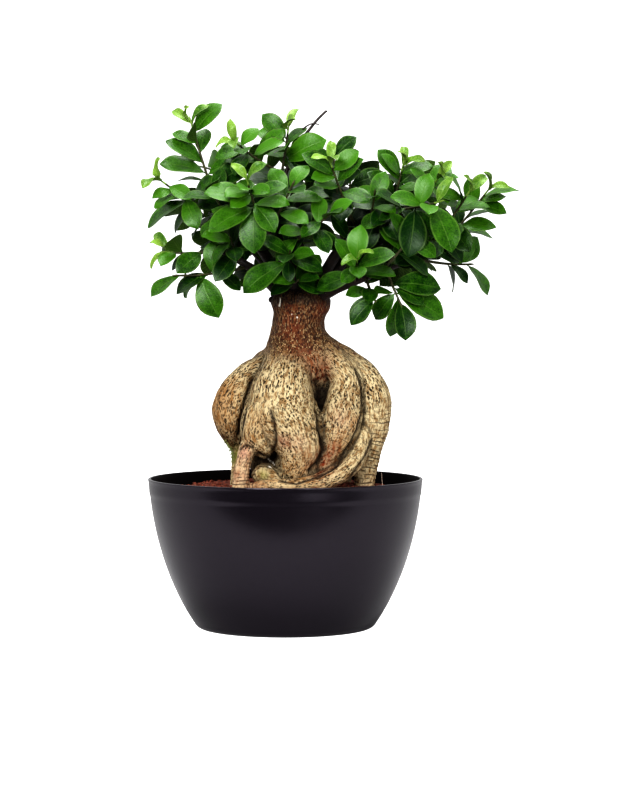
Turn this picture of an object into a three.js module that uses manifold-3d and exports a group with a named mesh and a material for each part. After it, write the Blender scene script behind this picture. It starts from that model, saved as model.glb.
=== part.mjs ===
// A ficus bonsai with swollen roots, standing in a low black bowl of soil.
// Millimetres, +Z up, the bowl's flat underside on Z = 0 and its axis on the Z axis; -Y faces the viewer.
import * as THREE from "three";
import { mergeVertices } from "three/addons/utils/BufferGeometryUtils.js";
import Module from "manifold-3d";

const wasm = await Module();
wasm.setup();

// Bowl: the outer wall is part of an ellipse whose widest level lies above the rim.
const RIM_RADIUS = 110;
const BOWL_HEIGHT = 120;
const BULGE_LEVEL = 138;
const BULGE_RISE = 178;
const BASE_RADIUS = 65;
const CORNER_HEIGHT = 5;
const WALL = 2.8;
const LIP = 0.7;
const BOWL_SIDES = 32;
const RIM_DEPTH = 3;
const FOOT_ROUNDING = [5, 1.4];
const RIM_PROFILE = [[0, -1.6], [-0.8, 0], [-WALL, -0.3]];

// Soil: it fills the bowl to a little under the rim, sloping up towards the roots.
const SOIL_EDGE_LEVEL = 109.5;
const SOIL_CROWN_LEVEL = 115;
const SOIL_CROWN_RADIUS = 64;
const CLEARANCE = 0.35;
// A root that ends this far above the soil's crown still reaches into it by its thickness.
const DEEPEST_ROUNDING = 10;

// Tree: sides and rings of its round parts.
const ROOT_SIDES = 8;
const RINGS_PER_SPAN = 0.85;
const LIMB_SIDES = 6;
const LIMB_RINGS = 3;

// Leafy shoots.
const STEM_SIDES = 3;
const STEM_RINGS = 2;
const STEM_BASE_RADIUS = 1.5;
const STEM_TIP_RADIUS = 0.9;
const STEM_SAG = 0.06;
const STEM_GAP = 0.12;
const FIRST_LEAF_AT = 0.36;
const LAST_LEAF_AT = 0.95;

// Leaf blades: thickest along the midrib, thinning to the edge. Stations are shares of the leaf's length.
const MIDRIB_THICKNESS = 1;
const STALK_THICKNESS = 0.8;
const WIDEST_AT = 0.56;
const STATIONS = [0.27, 0.58, 0.85];
const FEW_STATIONS = [0.36, 0.76];
const GUARD_THICKNESS = 1.6;
const FREE_OF_STEM = 0.2;

// Turns tried in order, in degrees of clock and lean, when a leaf would cross its neighbours.
const TURNS = [
  [0, 0], [9, 6], [-9, 6], [0, -14], [12, -12], [-12, -12], [0, 16], [20, 4], [-20, 4], [26, -16], [-26, -16],
  [34, 8], [-34, 8],
];

const radians = THREE.MathUtils.degToRad;
const vector = (p) => new THREE.Vector3(p[0], p[1], p[2]);

// The even change of a size from its value at share 0 to its value at share 1.
const between = (first, last) => (t) => first + (last - first) * t;

// The closed solid of a geometry, with its shared vertices merged and its flattened triangles left out.
function solidOf(geometry) {
  const bare = geometry.clone();
  bare.deleteAttribute("normal");
  bare.deleteAttribute("uv");
  const merged = mergeVertices(bare, 1e-4);
  const corners = merged.index.array;
  const kept = [];
  for (let i = 0; i < corners.length; i += 3) {
    const [a, b, c] = corners.slice(i, i + 3);
    if (a !== b && b !== c && c !== a) kept.push(a, b, c);
  }
  return new wasm.Manifold(
    new wasm.Mesh({
      numProp: 3,
      vertProperties: merged.attributes.position.array,
      triVerts: new Uint32Array(kept),
    }),
  );
}

function meshOf(name, solid, material) {
  const made = solid.getMesh();
  const geometry = new THREE.BufferGeometry();
  geometry.setAttribute("position", new THREE.BufferAttribute(made.vertProperties, 3));
  geometry.setIndex(new THREE.BufferAttribute(made.triVerts, 1));
  const mesh = new THREE.Mesh(geometry, material);
  mesh.name = name;
  return mesh;
}

const joined = (solids) => wasm.Manifold.union(solids);

// The largest body of a solid, so that a loose crumb is dropped.
function mainBody(solid) {
  return solid.decompose().sort((a, b) => b.volume() - a.volume())[0];
}

// A closed round rod along a curve: a cylinder whose rings are carried along it, radiusAt(t) wide.
function rod(curve, radiusAt, sides, rings) {
  const geometry = new THREE.CylinderGeometry(1, 1, 1, sides, rings);
  const frames = curve.computeFrenetFrames(rings, false);
  const at = geometry.attributes.position;
  for (let i = 0; i < at.count; i++) {
    const ring = Math.round((at.getY(i) + 0.5) * rings);
    const t = ring / rings;
    const point = curve.getPoint(t);
    point.addScaledVector(frames.normals[ring], at.getZ(i) * radiusAt(t));
    point.addScaledVector(frames.binormals[ring], at.getX(i) * radiusAt(t));
    at.setXYZ(i, point.x, point.y, point.z);
  }
  return solidOf(geometry);
}

// The bowl and its soil.

const outerRadius = (z) => (RIM_RADIUS - LIP) * Math.sqrt(1 - ((BULGE_LEVEL - z) / BULGE_RISE) ** 2) /
  Math.sqrt(1 - ((BULGE_LEVEL - BOWL_HEIGHT) / BULGE_RISE) ** 2);

function levels(low, high, count) {
  return Array.from({ length: count }, (_, i) => low + ((high - low) * i) / (count - 1));
}

// A profile of [radius, level] pairs turned about the Z axis.
function turned(profile) {
  const points = profile.map(([r, z]) => new THREE.Vector2(r, z));
  return solidOf(new THREE.LatheGeometry(points, BOWL_SIDES).rotateX(Math.PI / 2));
}

function bowl() {
  const wallTop = BOWL_HEIGHT - RIM_DEPTH;
  const outside = levels(CORNER_HEIGHT, wallTop, 5).map((z) => [outerRadius(z), z]);
  const inside = levels(WALL + CORNER_HEIGHT, wallTop, 4).map((z) => [outerRadius(z) - WALL, z]);
  return turned([
    [0, 0],
    [BASE_RADIUS, 0],
    [BASE_RADIUS + FOOT_ROUNDING[0], FOOT_ROUNDING[1]],
    ...outside,
    ...RIM_PROFILE.map(([out, up]) => [RIM_RADIUS + out, BOWL_HEIGHT + up]),
    ...inside.reverse(),
    [BASE_RADIUS, WALL],
    [0, WALL],
  ]);
}

function soil(rootsBelow) {
  const floor = WALL + CLEARANCE;
  const wall = levels(WALL + CORNER_HEIGHT, BOWL_HEIGHT - RIM_DEPTH, 4)
    .filter((z) => z < SOIL_EDGE_LEVEL)
    .map((z) => [outerRadius(z) - WALL - CLEARANCE, z]);
  const body = turned([
    [0, floor],
    [BASE_RADIUS - 1, floor],
    ...wall,
    [outerRadius(SOIL_EDGE_LEVEL) - WALL - 2 * CLEARANCE, SOIL_EDGE_LEVEL],
    [SOIL_CROWN_RADIUS, SOIL_CROWN_LEVEL],
    [0, SOIL_CROWN_LEVEL],
  ]);
  return mainBody(rootsBelow.reduce((left, root) => left.subtract(root), body));
}

// The trunk with its roots and limbs.

// Each root's centre line from the neck downwards, as [x, y, z, radius].
const ROOTS = {
  neck: [[12, 0, 273, 11], [12, 0, 269, 21], [12, 0, 262, 24], [11, 0, 254, 22], [10, 0, 246, 20.8],
    [10, 0, 238, 21.8], [10.5, 0, 229, 26], [12, 2, 217, 30], [15, 7, 203, 27], [18, 9, 188, 23],
    [17, 9, 168, 21], [9, 7, 150, 20], [-7, 4, 134, 21], [-13, 2, 120, 17]],
  left: [[-2, 2, 215, 12], [-15, 0, 209.5, 10.5], [-27, -1, 203, 11.5], [-38, -2, 189, 15],
    [-42, -2, 175, 16.8], [-42, -1, 163, 14.5], [-40.5, 1, 153, 10], [-37.5, 4, 144, 6], [-35, 6, 137, 2.5]],
  front: [[6, -4, 234, 13], [2, -11, 220, 16.5], [-1, -18, 203, 22], [-2.5, -23, 186, 25.5],
    [-1, -25, 173, 27.5], [6, -27, 161, 24.5], [11, -28, 149, 20.5], [11.5, -28, 137, 17], [8, -27, 126, 12],
    [5, -26, 118, 5]],
  front_lobe: [[-6, -18, 188, 13], [-15.5, -26, 172, 17.5], [-20.5, -28, 160, 15.3], [-19.5, -28, 150, 12],
    [-16.5, -27, 142, 7.5], [-15, -27, 137, 2.5]],
  front_leg: [[-24, -28, 156, 6], [-28.5, -31, 147, 7], [-32, -34, 138, 6.3], [-34.5, -35, 126, 6.2],
    [-35.5, -36, 113, 6.8], [-36, -36, 98, 4.5]],
  right_front: [[28, -8, 223, 12], [40, -12, 212, 11.5], [48.5, -16, 199, 12.8], [47.5, -18, 185, 15],
    [45.5, -20, 172, 16.5], [43.5, -22, 160, 15.2], [39.5, -25, 149, 12.5], [34, -27, 139.5, 9],
    [28, -29, 131, 5.5], [22.5, -30, 125, 2]],
  right: [[20, 0, 228, 14], [36, -1, 219, 13], [50.5, -2, 210.5, 13], [62.5, -3, 199.5, 14],
    [69, -4, 186, 14.8], [70, -4, 172, 14.6], [69, -4, 159, 13.6], [66.5, -4, 147, 12], [64.5, -5, 133, 10],
    [63.5, -6, 120, 8.6], [63, -6, 100, 6]],
  creeping: [[61, -8, 166, 6], [61, -18, 150, 7.4], [54, -27, 135, 8.2], [39, -35, 124, 8.2],
    [20, -39, 118, 7], [0, -41, 116.5, 5.4], [-18, -38, 116.5, 4.4], [-28, -31, 113, 3.6],
    [-32, -24, 104, 2.2]],
  nub: [[-26, -20, 121, 4], [-17, -22, 125, 8.5], [-6, -24, 122, 6.5], [6, -26, 124, 7]],
  left_leg: [[-36, 4, 150, 7], [-38, 1, 138, 5.6], [-38.5, -2, 126, 5.4], [-39, -4, 113, 5.6],
    [-39, -4, 98, 4]],
  back_left: [[-2, 8, 218, 13], [-15, 18, 206, 16], [-25, 26, 190, 18.5], [-27, 30, 172, 18.5],
    [-24, 31, 154, 15], [-20, 30, 138, 10], [-18, 29, 122, 7.5], [-17, 28, 100, 5]],
  back_right: [[22, 10, 220, 13], [36, 20, 207, 15.5], [45, 28, 190, 17.5], [45, 31, 172, 17],
    [43, 32, 154, 14], [43, 31, 138, 12], [44, 30, 122, 10], [44, 29, 100, 7]],
  back: [[10, 12, 216, 13], [11, 28, 198, 15.5], [10, 36, 180, 16.5], [9, 38, 160, 15], [8, 38, 142, 11],
    [8, 37, 128, 7.5], [8, 36, 119, 3]],
};

// A tapering rod through hand-placed [x, y, z, radius] points, grown by extra millimetres all round.
function root(points, extra = 0) {
  const line = new THREE.CatmullRomCurve3(points.map(vector), false, "catmullrom", 0.5);
  const width = new THREE.CatmullRomCurve3(
    points.map((p) => new THREE.Vector3(p[3], 0, 0)), false, "catmullrom", 0.5);
  const rings = Math.round((points.length - 1) * RINGS_PER_SPAN);
  return rod(line, (t) => width.getPoint(t).x + extra, ROOT_SIDES, rings);
}

// Each limb is a bent rod from the neck's top, through its bend, to its end.
const LIMBS = {
  left_low: { from: [0, -6, 264], bend: [-22, -20, 288], to: [-52, -22, 302], radii: [5, 2] },
  left_high: { from: [2, 0, 266], bend: [-18, -4, 312], to: [-56, -8, 332], radii: [5.5, 2] },
  front: { from: [10, -9, 265], bend: [2, -34, 292], to: [-20, -46, 326], radii: [4.5, 2] },
  centre: { from: [13, 3, 267], bend: [4, 0, 318], to: [-8, -8, 366], radii: [5, 2] },
  bare_twig: { from: [-3, -5, 347], bend: [2, -4, 386], to: [33, -4, 413], radii: [1.8, 0.9] },
  right_front: { from: [24, -7, 264], bend: [50, -30, 276], to: [82, -38, 288], radii: [5, 2] },
  right_high: { from: [22, 0, 266], bend: [44, -8, 310], to: [72, -20, 334], radii: [5.5, 2] },
  right_far: { from: [26, 4, 265], bend: [64, 6, 286], to: [118, -4, 300], radii: [5.5, 2.2] },
  right_top: { from: [24, 5, 266], bend: [66, 0, 322], to: [104, -14, 336], radii: [5, 2] },
  back_left: { from: [4, 9, 265], bend: [-16, 36, 296], to: [-48, 44, 322], radii: [5, 2] },
  back_centre: { from: [12, 11, 266], bend: [14, 34, 306], to: [10, 44, 342], radii: [4.5, 2] },
  back_right: { from: [22, 10, 265], bend: [54, 36, 292], to: [88, 42, 318], radii: [5, 2] },
};

function limbCurve({ from, bend, to }) {
  return new THREE.QuadraticBezierCurve3(vector(from), vector(bend), vector(to));
}

function limbSolid(limb) {
  return rod(limbCurve(limb), between(...limb.radii), LIMB_SIDES, LIMB_RINGS);
}

// The leafy shoots.

// A repeatable stream of numbers from 0 to 1.
function draws(seed) {
  let state = seed >>> 0;
  return () => {
    state = (state + 0x6d2b79f5) >>> 0;
    let mixed = Math.imul(state ^ (state >>> 15), state | 1);
    mixed ^= mixed + Math.imul(mixed ^ (mixed >>> 7), mixed | 61);
    return ((mixed ^ (mixed >>> 14)) >>> 0) / 4294967296;
  };
}

// Shoots: the limb that carries each one and how far along it, and the shoot's tip. Leaves are listed
// upwards as [clock, lean, length, roll]: clock is the way it points seen from the front, 0 up and 90 to the
// right, lean its rise towards the viewer and roll its turn about its own chord, in degrees. More is the
// number of further leaves that wind up the stem by rule, and young the number of leaves of the pale new
// growth at the tip.
const SHOOTS = [
  { name: "top_left", limb: "left_high", at: 0.92, tip: [-73, -14, 398], young: 3, more: 3,
    leaves: [[-87, 10, 27, 20], [-79, 10, 39], [-59, 8, 36, 15], [11, -30, 25, 25], [-68, 0, 22, 5],
      [43, 8, 33, 20]] },
  { name: "left", limb: "left_high", at: 1, tip: [-94, -22, 354], young: 2, more: 4,
    leaves: [[-144, 5, 30, 5], [-122, -8, 42, 10], [157, 25, 31, -5], [-121, 12, 24, -5],
      [-112, 18, 20, -20], [121, 25, 24, -10]] },
  { name: "low_left", limb: "left_low", at: 1, tip: [-88, -30, 300], young: 3, more: 2,
    leaves: [[-140, 25, 30, -35], [-130, 20, 22, 5], [-79, -20, 23, 5], [-113, 46, 24, -20]] },
  { name: "hanging_left", limb: "left_low", at: 0.6, tip: [-84, -38, 282], young: 0, more: 3,
    leaves: [[129, 10, 23, -15], [-110, 18, 31], [156, 6, 38, 5], [-178, -40, 26, 20], [-126, 10, 30, 5]] },
  { name: "front_left", limb: "front", at: 1, tip: [-28, -66, 352], young: 2, more: 3,
    leaves: [[-118, 16, 43, -5], [-180, 10, 39], [144, 2, 31], [-82, 14, 40], [72, 12, 30],
      [-131, 34, 25, -25], [-112, 34, 27], [101, 46, 24, 5], [56, 16, 31, 35]] },
  { name: "upper_left", limb: "centre", at: 1, tip: [-36, -36, 384], young: 3, more: 3,
    leaves: [[-92, 25, 32], [-125, 16, 39, -10], [65, 16, 28], [-150, 40, 28], [-105, 6, 25, -10],
      [44, -14, 21, 5]] },
  { name: "top", limb: "centre", at: 0.86, tip: [2, -14, 394], young: 2, more: 4,
    leaves: [[64, 14, 40, 20], [130, 10, 34], [25, 0, 26, 10], [-68, -16, 27, 5], [95, -20, 29]] },
  { name: "centre", limb: "right_high", at: 0.72, tip: [37, -46, 366], young: 3, more: 3,
    leaves: [[-102, 10, 30], [74, 14, 30], [186, 50, 32], [110, 30, 28], [-88, 36, 26], [50, 24, 30],
      [-57, 12, 33], [52, 8, 26, 20]] },
  { name: "inner_front", limb: "front", at: 0.62, tip: [36, -60, 330], young: 0, more: 4,
    leaves: [[-160, 10, 26], [-92, 30, 26], [150, 25, 26], [-130, 36, 25], [60, 20, 24]] },
  { name: "low_centre", limb: "front", at: 0.4, tip: [4, -56, 300], young: 0, more: 3,
    leaves: [[-125, 8, 44], [186, 24, 20], [110, 16, 30], [84, 32, 24], [-60, 10, 28], [10, 20, 26]] },
  { name: "collar", limb: "front", at: 0.22, tip: [10, -46, 278], young: 0, more: 2,
    leaves: [[-118, 24, 24], [112, 20, 26], [-92, 30, 24], [84, 36, 22]] },
  { name: "low_right", limb: "right_front", at: 0.55, tip: [56, -66, 292], young: 2, more: 3,
    leaves: [[-112, 8, 34], [95, 16, 33, -15], [-130, 46, 23, -15], [72, 18, 34], [6, 12, 31, -20]] },
  { name: "under_right", limb: "right_front", at: 0.7, tip: [70, -60, 263], young: 0, more: 1,
    leaves: [[-175, 46, 26], [-100, 8, 21], [85, -35, 24, -10], [-144, -4, 21], [-138, 6, 28]] },
  { name: "bottom_right", limb: "right_front", at: 0.96, tip: [90, -47, 261], young: 0, more: 1,
    leaves: [[96, -6, 40, 10], [120, 14, 28, -5], [118, 6, 44, 10], [-170, -12, 33, -30],
      [171, 6, 32, -5]] },
  { name: "front_right", limb: "right_high", at: 1, tip: [116, -66, 338], young: 1, more: 4,
    leaves: [[128, -6, 30], [-114, 10, 24, 20], [-172, 12, 41, -5], [-76, 24, 30], [158, 14, 43, 5]] },
  { name: "upper_right", limb: "right_top", at: 0.7, tip: [92, -18, 364], young: 3, more: 4,
    leaves: [[-103, 16, 40], [-52, 10, 30, -10], [94, 20, 22], [-34, 2, 31, -5], [64, 20, 27, -5]] },
  { name: "right_crest", limb: "right_top", at: 1, tip: [118, -34, 355], young: 3, more: 3,
    leaves: [[-64, 14, 28], [98, 24, 28], [36, -22, 30, -10], [70, 30, 26], [20, 8, 20, 30]] },
  { name: "right_shelf", limb: "right_far", at: 0.9, tip: [142, -40, 344], young: 2, more: 4,
    leaves: [[141, 8, 29, 15], [143, 26, 32, 35], [82, 12, 28, -20], [-80, 30, 26]] },
  { name: "far_right", limb: "right_far", at: 1, tip: [158, -14, 346], young: 2, more: 3,
    leaves: [[97, -6, 34, -25], [100, 4, 31, 15], [82, -6, 23, -35], [7, -8, 29, -15], [105, 12, 26, 20],
      [80, 4, 31, -20]] },
  { name: "low_far_right", limb: "right_far", at: 0.86, tip: [146, -4, 291], young: 0, more: 2,
    leaves: [[-20, 10, 26], [137, 0, 22, 15], [34, 8, 22, 10], [146, 4, 31, 5]] },
  { name: "inner_right", limb: "right_high", at: 0.86, tip: [82, -34, 330], young: 0, more: 4,
    leaves: [[-130, 16, 28], [120, 14, 28], [-84, 24, 26], [60, 30, 26]] },
  { name: "inner_left", limb: "left_low", at: 0.72, tip: [-42, -44, 310], young: 0, more: 5,
    leaves: [[-145, 28, 32, -30], [-68, 0, 23, 15], [-135, 20, 25, 20]] },
  { name: "mid_left", limb: "left_high", at: 0.66, tip: [-58, -44, 348], young: 0, more: 7 },
  { name: "mid_centre", limb: "front", at: 0.84, tip: [6, -62, 352], young: 0, more: 7 },
  { name: "mid_right", limb: "right_top", at: 0.5, tip: [70, -52, 346], young: 0, more: 6 },
  { name: "mid_low_right", limb: "right_front", at: 0.88, tip: [98, -50, 312], young: 0, more: 6 },
  { name: "mid_far_right", limb: "right_far", at: 0.78, tip: [124, -44, 318], young: 0, more: 6 },
  { name: "crest", limb: "right_high", at: 0.5, tip: [38, -14, 382], young: 0, more: 6 },
  { name: "back_top_left", limb: "left_high", at: 0.8, tip: [-52, 14, 374], young: 0, more: 7 },
  { name: "back_left", limb: "back_left", at: 1, tip: [-78, 52, 338], young: 0, more: 8 },
  { name: "back_left_low", limb: "back_left", at: 0.78, tip: [-62, 56, 304], young: 0, more: 7 },
  { name: "back_left_mid", limb: "back_left", at: 0.92, tip: [-36, 72, 346], young: 0, more: 7 },
  { name: "back_upper_left", limb: "back_centre", at: 0.82, tip: [-22, 36, 376], young: 0, more: 8 },
  { name: "back_crown", limb: "back_centre", at: 1, tip: [16, 54, 376], young: 0, more: 8 },
  { name: "back_mid", limb: "back_centre", at: 0.74, tip: [22, 76, 334], young: 0, more: 8 },
  { name: "back_low", limb: "back_centre", at: 0.5, tip: [-12, 66, 306], young: 0, more: 7 },
  { name: "inner_top", limb: "right_high", at: 0.6, tip: [52, 0, 370], young: 0, more: 6 },
  { name: "back_upper_right", limb: "back_right", at: 0.9, tip: [64, 46, 364], young: 0, more: 9 },
  { name: "back_right_low", limb: "back_right", at: 0.7, tip: [66, 68, 304], young: 0, more: 7 },
  { name: "back_right", limb: "back_right", at: 1, tip: [102, 64, 338], young: 0, more: 9 },
  { name: "back_far_right", limb: "back_right", at: 0.96, tip: [128, 38, 330], young: 0, more: 8 },
  { name: "back_right_crest", limb: "right_top", at: 0.86, tip: [102, 18, 360], young: 0, more: 8 },
  { name: "low_back_right", limb: "right_far", at: 0.7, tip: [98, 34, 300], young: 0, more: 6 },
];

// The way a stem sets off from a point towards its tip: a little below the straight line, because it bows
// upwards.
function heading(start, tip) {
  const out = tip.clone().sub(start).normalize();
  out.z -= 2 * STEM_SAG;
  return out.normalize();
}

// Where the shoot leaves its limb, its foot just clear of the bark: beyond the limb's end, or beside the
// limb. The limb is straight between its rings.
function stemStart(limb, at, tip) {
  const rings = limbCurve(limb).getPoints(LIMB_RINGS);
  const ring = Math.min(Math.floor(at * LIMB_RINGS), LIMB_RINGS - 1);
  const on = rings[ring].clone().lerp(rings[ring + 1], at * LIMB_RINGS - ring);
  const along = rings[ring + 1].clone().sub(rings[ring]).normalize();
  const out = heading(on, tip);
  const level = out.dot(along);
  const skew = Math.sqrt(1 - level * level);
  if (at === 1) return on.addScaledVector(out, (STEM_GAP + STEM_BASE_RADIUS * skew) / level);
  const limbRadius = between(...limb.radii)(at);
  return on.addScaledVector(out, (limbRadius + STEM_GAP + STEM_BASE_RADIUS * Math.abs(level)) / skew);
}

function stemCurve(shoot) {
  const tip = vector(shoot.tip);
  const start = stemStart(LIMBS[shoot.limb], shoot.at, tip);
  const bend = start.clone().lerp(tip, 0.5);
  bend.z -= STEM_SAG * start.distanceTo(tip);
  return new THREE.QuadraticBezierCurve3(start, bend, tip);
}

const direction = (clock, lean) => new THREE.Vector3(
  Math.sin(radians(clock)) * Math.cos(radians(lean)),
  -Math.sin(radians(lean)),
  Math.cos(radians(clock)) * Math.cos(radians(lean)),
);

// A leaf's upper face looks up and out from the crown's middle, square to its chord, then rolled about it.
const CROWN_MIDDLE = [35, 12];
const CROWN_WIDTH = 180;
const CROWN_DEPTH = 45;
const FACE_OUT = 0.8;
const FACE_UP = 0.7;
function faceOf(chord, base, roll) {
  const [middleX, middleY] = CROWN_MIDDLE;
  const face = new THREE.Vector3((base.x - middleX) / CROWN_WIDTH, (base.y - middleY) / CROWN_DEPTH, 0);
  face.normalize().multiplyScalar(FACE_OUT);
  face.z = FACE_UP;
  face.addScaledVector(chord, -face.dot(chord)).normalize();
  return face.applyAxisAngle(chord, radians(roll));
}

// A leaf is placed by the straight line from its base to its tip. Its midrib is an arc over that line.
function makeLeaf(base, clock, lean, length, roll, form) {
  const chord = direction(clock, lean);
  const over = faceOf(chord, base, roll);
  const half = form.arch / 2;
  const dir = chord.clone().multiplyScalar(Math.cos(half)).addScaledVector(over, Math.sin(half));
  const face = over.clone().multiplyScalar(Math.cos(half)).addScaledVector(chord, -Math.sin(half));
  return { base, dir, face, side: dir.clone().cross(face), length, ...form };
}

const GROWN = { width: 0.58, arch: radians(38), fold: radians(13), stations: STATIONS };
const FURTHER = { ...GROWN, stations: FEW_STATIONS };
const YOUNG = { width: 0.46, arch: radians(75), fold: radians(34), stations: FEW_STATIONS };

// Half the blade's width at a share u of its length: it tapers to its stalk, is widest past the middle and
// ends in a point.
function halfWidth(leaf, u) {
  const swell = u < WIDEST_AT ? Math.sin((Math.PI / 2) * (u / WIDEST_AT)) ** 1.1
    : Math.cos((Math.PI / 2) * ((u - WIDEST_AT) / (1 - WIDEST_AT)) ** 1.4);
  return (leaf.length * leaf.width * swell) / 2;
}

// A point of the blade at a share u along and v millimetres across, lifted off the blade's middle surface.
// The midrib bends down along its arc, and both halves fold up from it.
function bladePoint(leaf, u, v, lift) {
  const turn = leaf.arch * u;
  const bendRadius = leaf.length / leaf.arch;
  const normal = leaf.face.clone().multiplyScalar(Math.cos(turn)).addScaledVector(leaf.dir, Math.sin(turn));
  return leaf.base.clone()
    .addScaledVector(leaf.dir, bendRadius * Math.sin(turn))
    .addScaledVector(leaf.face, -bendRadius * (1 - Math.cos(turn)))
    .addScaledVector(leaf.side, v * Math.cos(leaf.fold))
    .addScaledVector(normal, Math.abs(v) * Math.sin(leaf.fold) + lift);
}

// The blade as a solid: a many-sided disc whose rim is moved to the leaf's outline and whose two hubs are on
// the midrib. The outline starts a share from of the way along.
function blade(leaf, thickness, from = 0) {
  const wing = leaf.stations.map((u) => [u, halfWidth(leaf, u), thickness.edge]);
  const outline = [[from, 0, thickness.stalk], ...wing, [1, 0, thickness.edge],
    ...wing.map(([u, v, thick]) => [u, -v, thick]).reverse()];
  const disc = new THREE.CylinderGeometry(1, 1, 1, outline.length, 1);
  const at = disc.attributes.position;
  for (let i = 0; i < at.count; i++) {
    const share = Math.atan2(at.getX(i), at.getZ(i)) / (2 * Math.PI);
    const corner = (Math.round(share * outline.length) + outline.length) % outline.length;
    const onRim = Math.hypot(at.getX(i), at.getZ(i)) > 0.5;
    const [u, v, thick] = onRim ? outline[corner] : [WIDEST_AT, 0, thickness.middle];
    const point = bladePoint(leaf, u, v, (Math.sign(at.getY(i)) * thick) / 2);
    at.setXYZ(i, point.x, point.y, point.z);
  }
  return solidOf(disc);
}

const BLADE = { stalk: STALK_THICKNESS, middle: MIDRIB_THICKNESS, edge: 0 };
const GUARD = { stalk: GUARD_THICKNESS, middle: GUARD_THICKNESS, edge: GUARD_THICKNESS };
const THIN_GUARD = { stalk: BLADE.middle, middle: BLADE.middle, edge: BLADE.middle };

// Every solid placed so far, by node, with its box for a quick look at what is near.
const placed = [];
function place(node, solid, guard = solid) {
  placed.push({ node, solid, guard, box: solid.boundingBox() });
}

function near(a, b) {
  return [0, 1, 2].every((k) => a.min[k] < b.max[k] + 1 && b.min[k] < a.max[k] + 1);
}

const crosses = (a, b) => a.intersect(b).volume() > 1e-4;

// The first turn of a leaf that keeps clear of other nodes, and of its own away from the stem.
function settle(node, base, wish, form) {
  const [clock, lean, length, roll = 0] = wish;
  for (const [dClock, dLean] of TURNS) {
    const leaf = makeLeaf(base, clock + dClock, lean + dLean, length, roll, form);
    const guard = blade(leaf, GUARD);
    const outer = blade(leaf, THIN_GUARD, FREE_OF_STEM);
    const box = guard.boundingBox();
    const clear = placed.filter((other) => near(box, other.box)).every((other) =>
      other.node === node ? !crosses(outer, other.guard) : !crosses(guard, other.solid));
    if (clear) {
      const solid = blade(leaf, BLADE);
      place(node, solid, outer);
      return solid;
    }
  }
  return null;
}

// Leaves by rule wind up the stem by the golden angle, lower ones spreading widest and longest. Ranges are
// the whole width of a random difference.
const GOLDEN_ANGLE = 137.5;
const WIDEST_SPREAD = 92;
const SPREAD_LOSS = 46;
const SPREAD_RANGE = 14;
const LONGEST_LEAF = 31;
const LENGTH_LOSS = 6;
const LENGTH_RANGE = 6;
const ROLL_RANGE = 30;
function ruledLeaves(count, curve, seed) {
  const draw = draws(seed);
  const axis = curve.getTangent(1);
  const sideways = new THREE.Vector3(0, 0, 1).cross(axis).normalize();
  const phase = 360 * draw();
  return Array.from({ length: count }, (_, i) => {
    const share = (i + 0.5) / count;
    const spread = radians(WIDEST_SPREAD - SPREAD_LOSS * share + SPREAD_RANGE * (draw() - 0.5));
    const out = sideways.clone().applyAxisAngle(axis, radians(phase + GOLDEN_ANGLE * i));
    const dir = axis.clone().multiplyScalar(Math.cos(spread)).addScaledVector(out, Math.sin(spread));
    const clock = THREE.MathUtils.radToDeg(Math.atan2(dir.x, dir.z));
    const lean = THREE.MathUtils.radToDeg(Math.asin(-dir.y));
    const length = LONGEST_LEAF - LENGTH_LOSS * share + LENGTH_RANGE * (draw() - 0.5);
    return [clock, lean, length, ROLL_RANGE * (draw() - 0.5)];
  });
}

// Pale new growth: a short stem just above the shoot's tip, with small folded leaves standing up round it.
const YOUNG_STEM = 6;
const YOUNG_BASE_RADIUS = 0.9;
const YOUNG_TIP_RADIUS = 0.6;
const YOUNG_SPREAD = 52;
const YOUNG_SPREAD_LOSS = 12;
const YOUNG_SPREAD_RANGE = 8;
const YOUNG_LENGTH = 22;
const YOUNG_LENGTH_LOSS = 3;
const YOUNG_LENGTH_RANGE = 3;
const YOUNG_FIRST_AT = 0.35;
const YOUNG_STEP = 0.25;
function youngGrowth(shoot, curve, seed) {
  const draw = draws(seed);
  const tip = curve.getPoint(1);
  const axis = curve.getTangent(1);
  const start = tip.clone().addScaledVector(axis, CLEARANCE);
  const end = start.clone().addScaledVector(axis, YOUNG_STEM);
  const phase = 360 * draw();
  const sideways = new THREE.Vector3(0, -1, 0).addScaledVector(axis, axis.y).normalize();
  const wishes = Array.from({ length: shoot.young }, (_, i) => {
    const out = sideways.clone().applyAxisAngle(axis, radians(phase + GOLDEN_ANGLE * i));
    const spread = radians(YOUNG_SPREAD - YOUNG_SPREAD_LOSS * i + YOUNG_SPREAD_RANGE * draw());
    const dir = axis.clone().multiplyScalar(Math.cos(spread)).addScaledVector(out, Math.sin(spread));
    const clock = THREE.MathUtils.radToDeg(Math.atan2(dir.x, dir.z));
    const lean = THREE.MathUtils.radToDeg(Math.asin(-dir.y));
    const length = YOUNG_LENGTH - YOUNG_LENGTH_LOSS * i + YOUNG_LENGTH_RANGE * draw();
    return { at: YOUNG_FIRST_AT + YOUNG_STEP * i, wish: [clock, lean, length, 0] };
  });
  return { curve: new THREE.LineCurve3(start, end), wishes };
}

// The whole object.

const bark = new THREE.MeshStandardMaterial({ color: 0xb59b6a, roughness: 0.85, metalness: 0 });
const plastic = new THREE.MeshStandardMaterial({ color: 0x1a1a1d, roughness: 0.22, metalness: 0 });
const earth = new THREE.MeshStandardMaterial({ color: 0x5a2c20, roughness: 0.95, metalness: 0 });
const leafGreen = new THREE.MeshStandardMaterial({ color: 0x2f6b1c, roughness: 0.4, metalness: 0 });
const limeGreen = new THREE.MeshStandardMaterial({ color: 0x86b832, roughness: 0.45, metalness: 0 });

const rootSolids = Object.values(ROOTS).map((points) => root(points));
const treeSolid = joined([...rootSolids, ...Object.values(LIMBS).map(limbSolid)]);
const lowRoots = Object.values(ROOTS)
  .filter((points) => points.at(-1)[2] < SOIL_CROWN_LEVEL + DEEPEST_ROUNDING);
place("tree", treeSolid);

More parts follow.
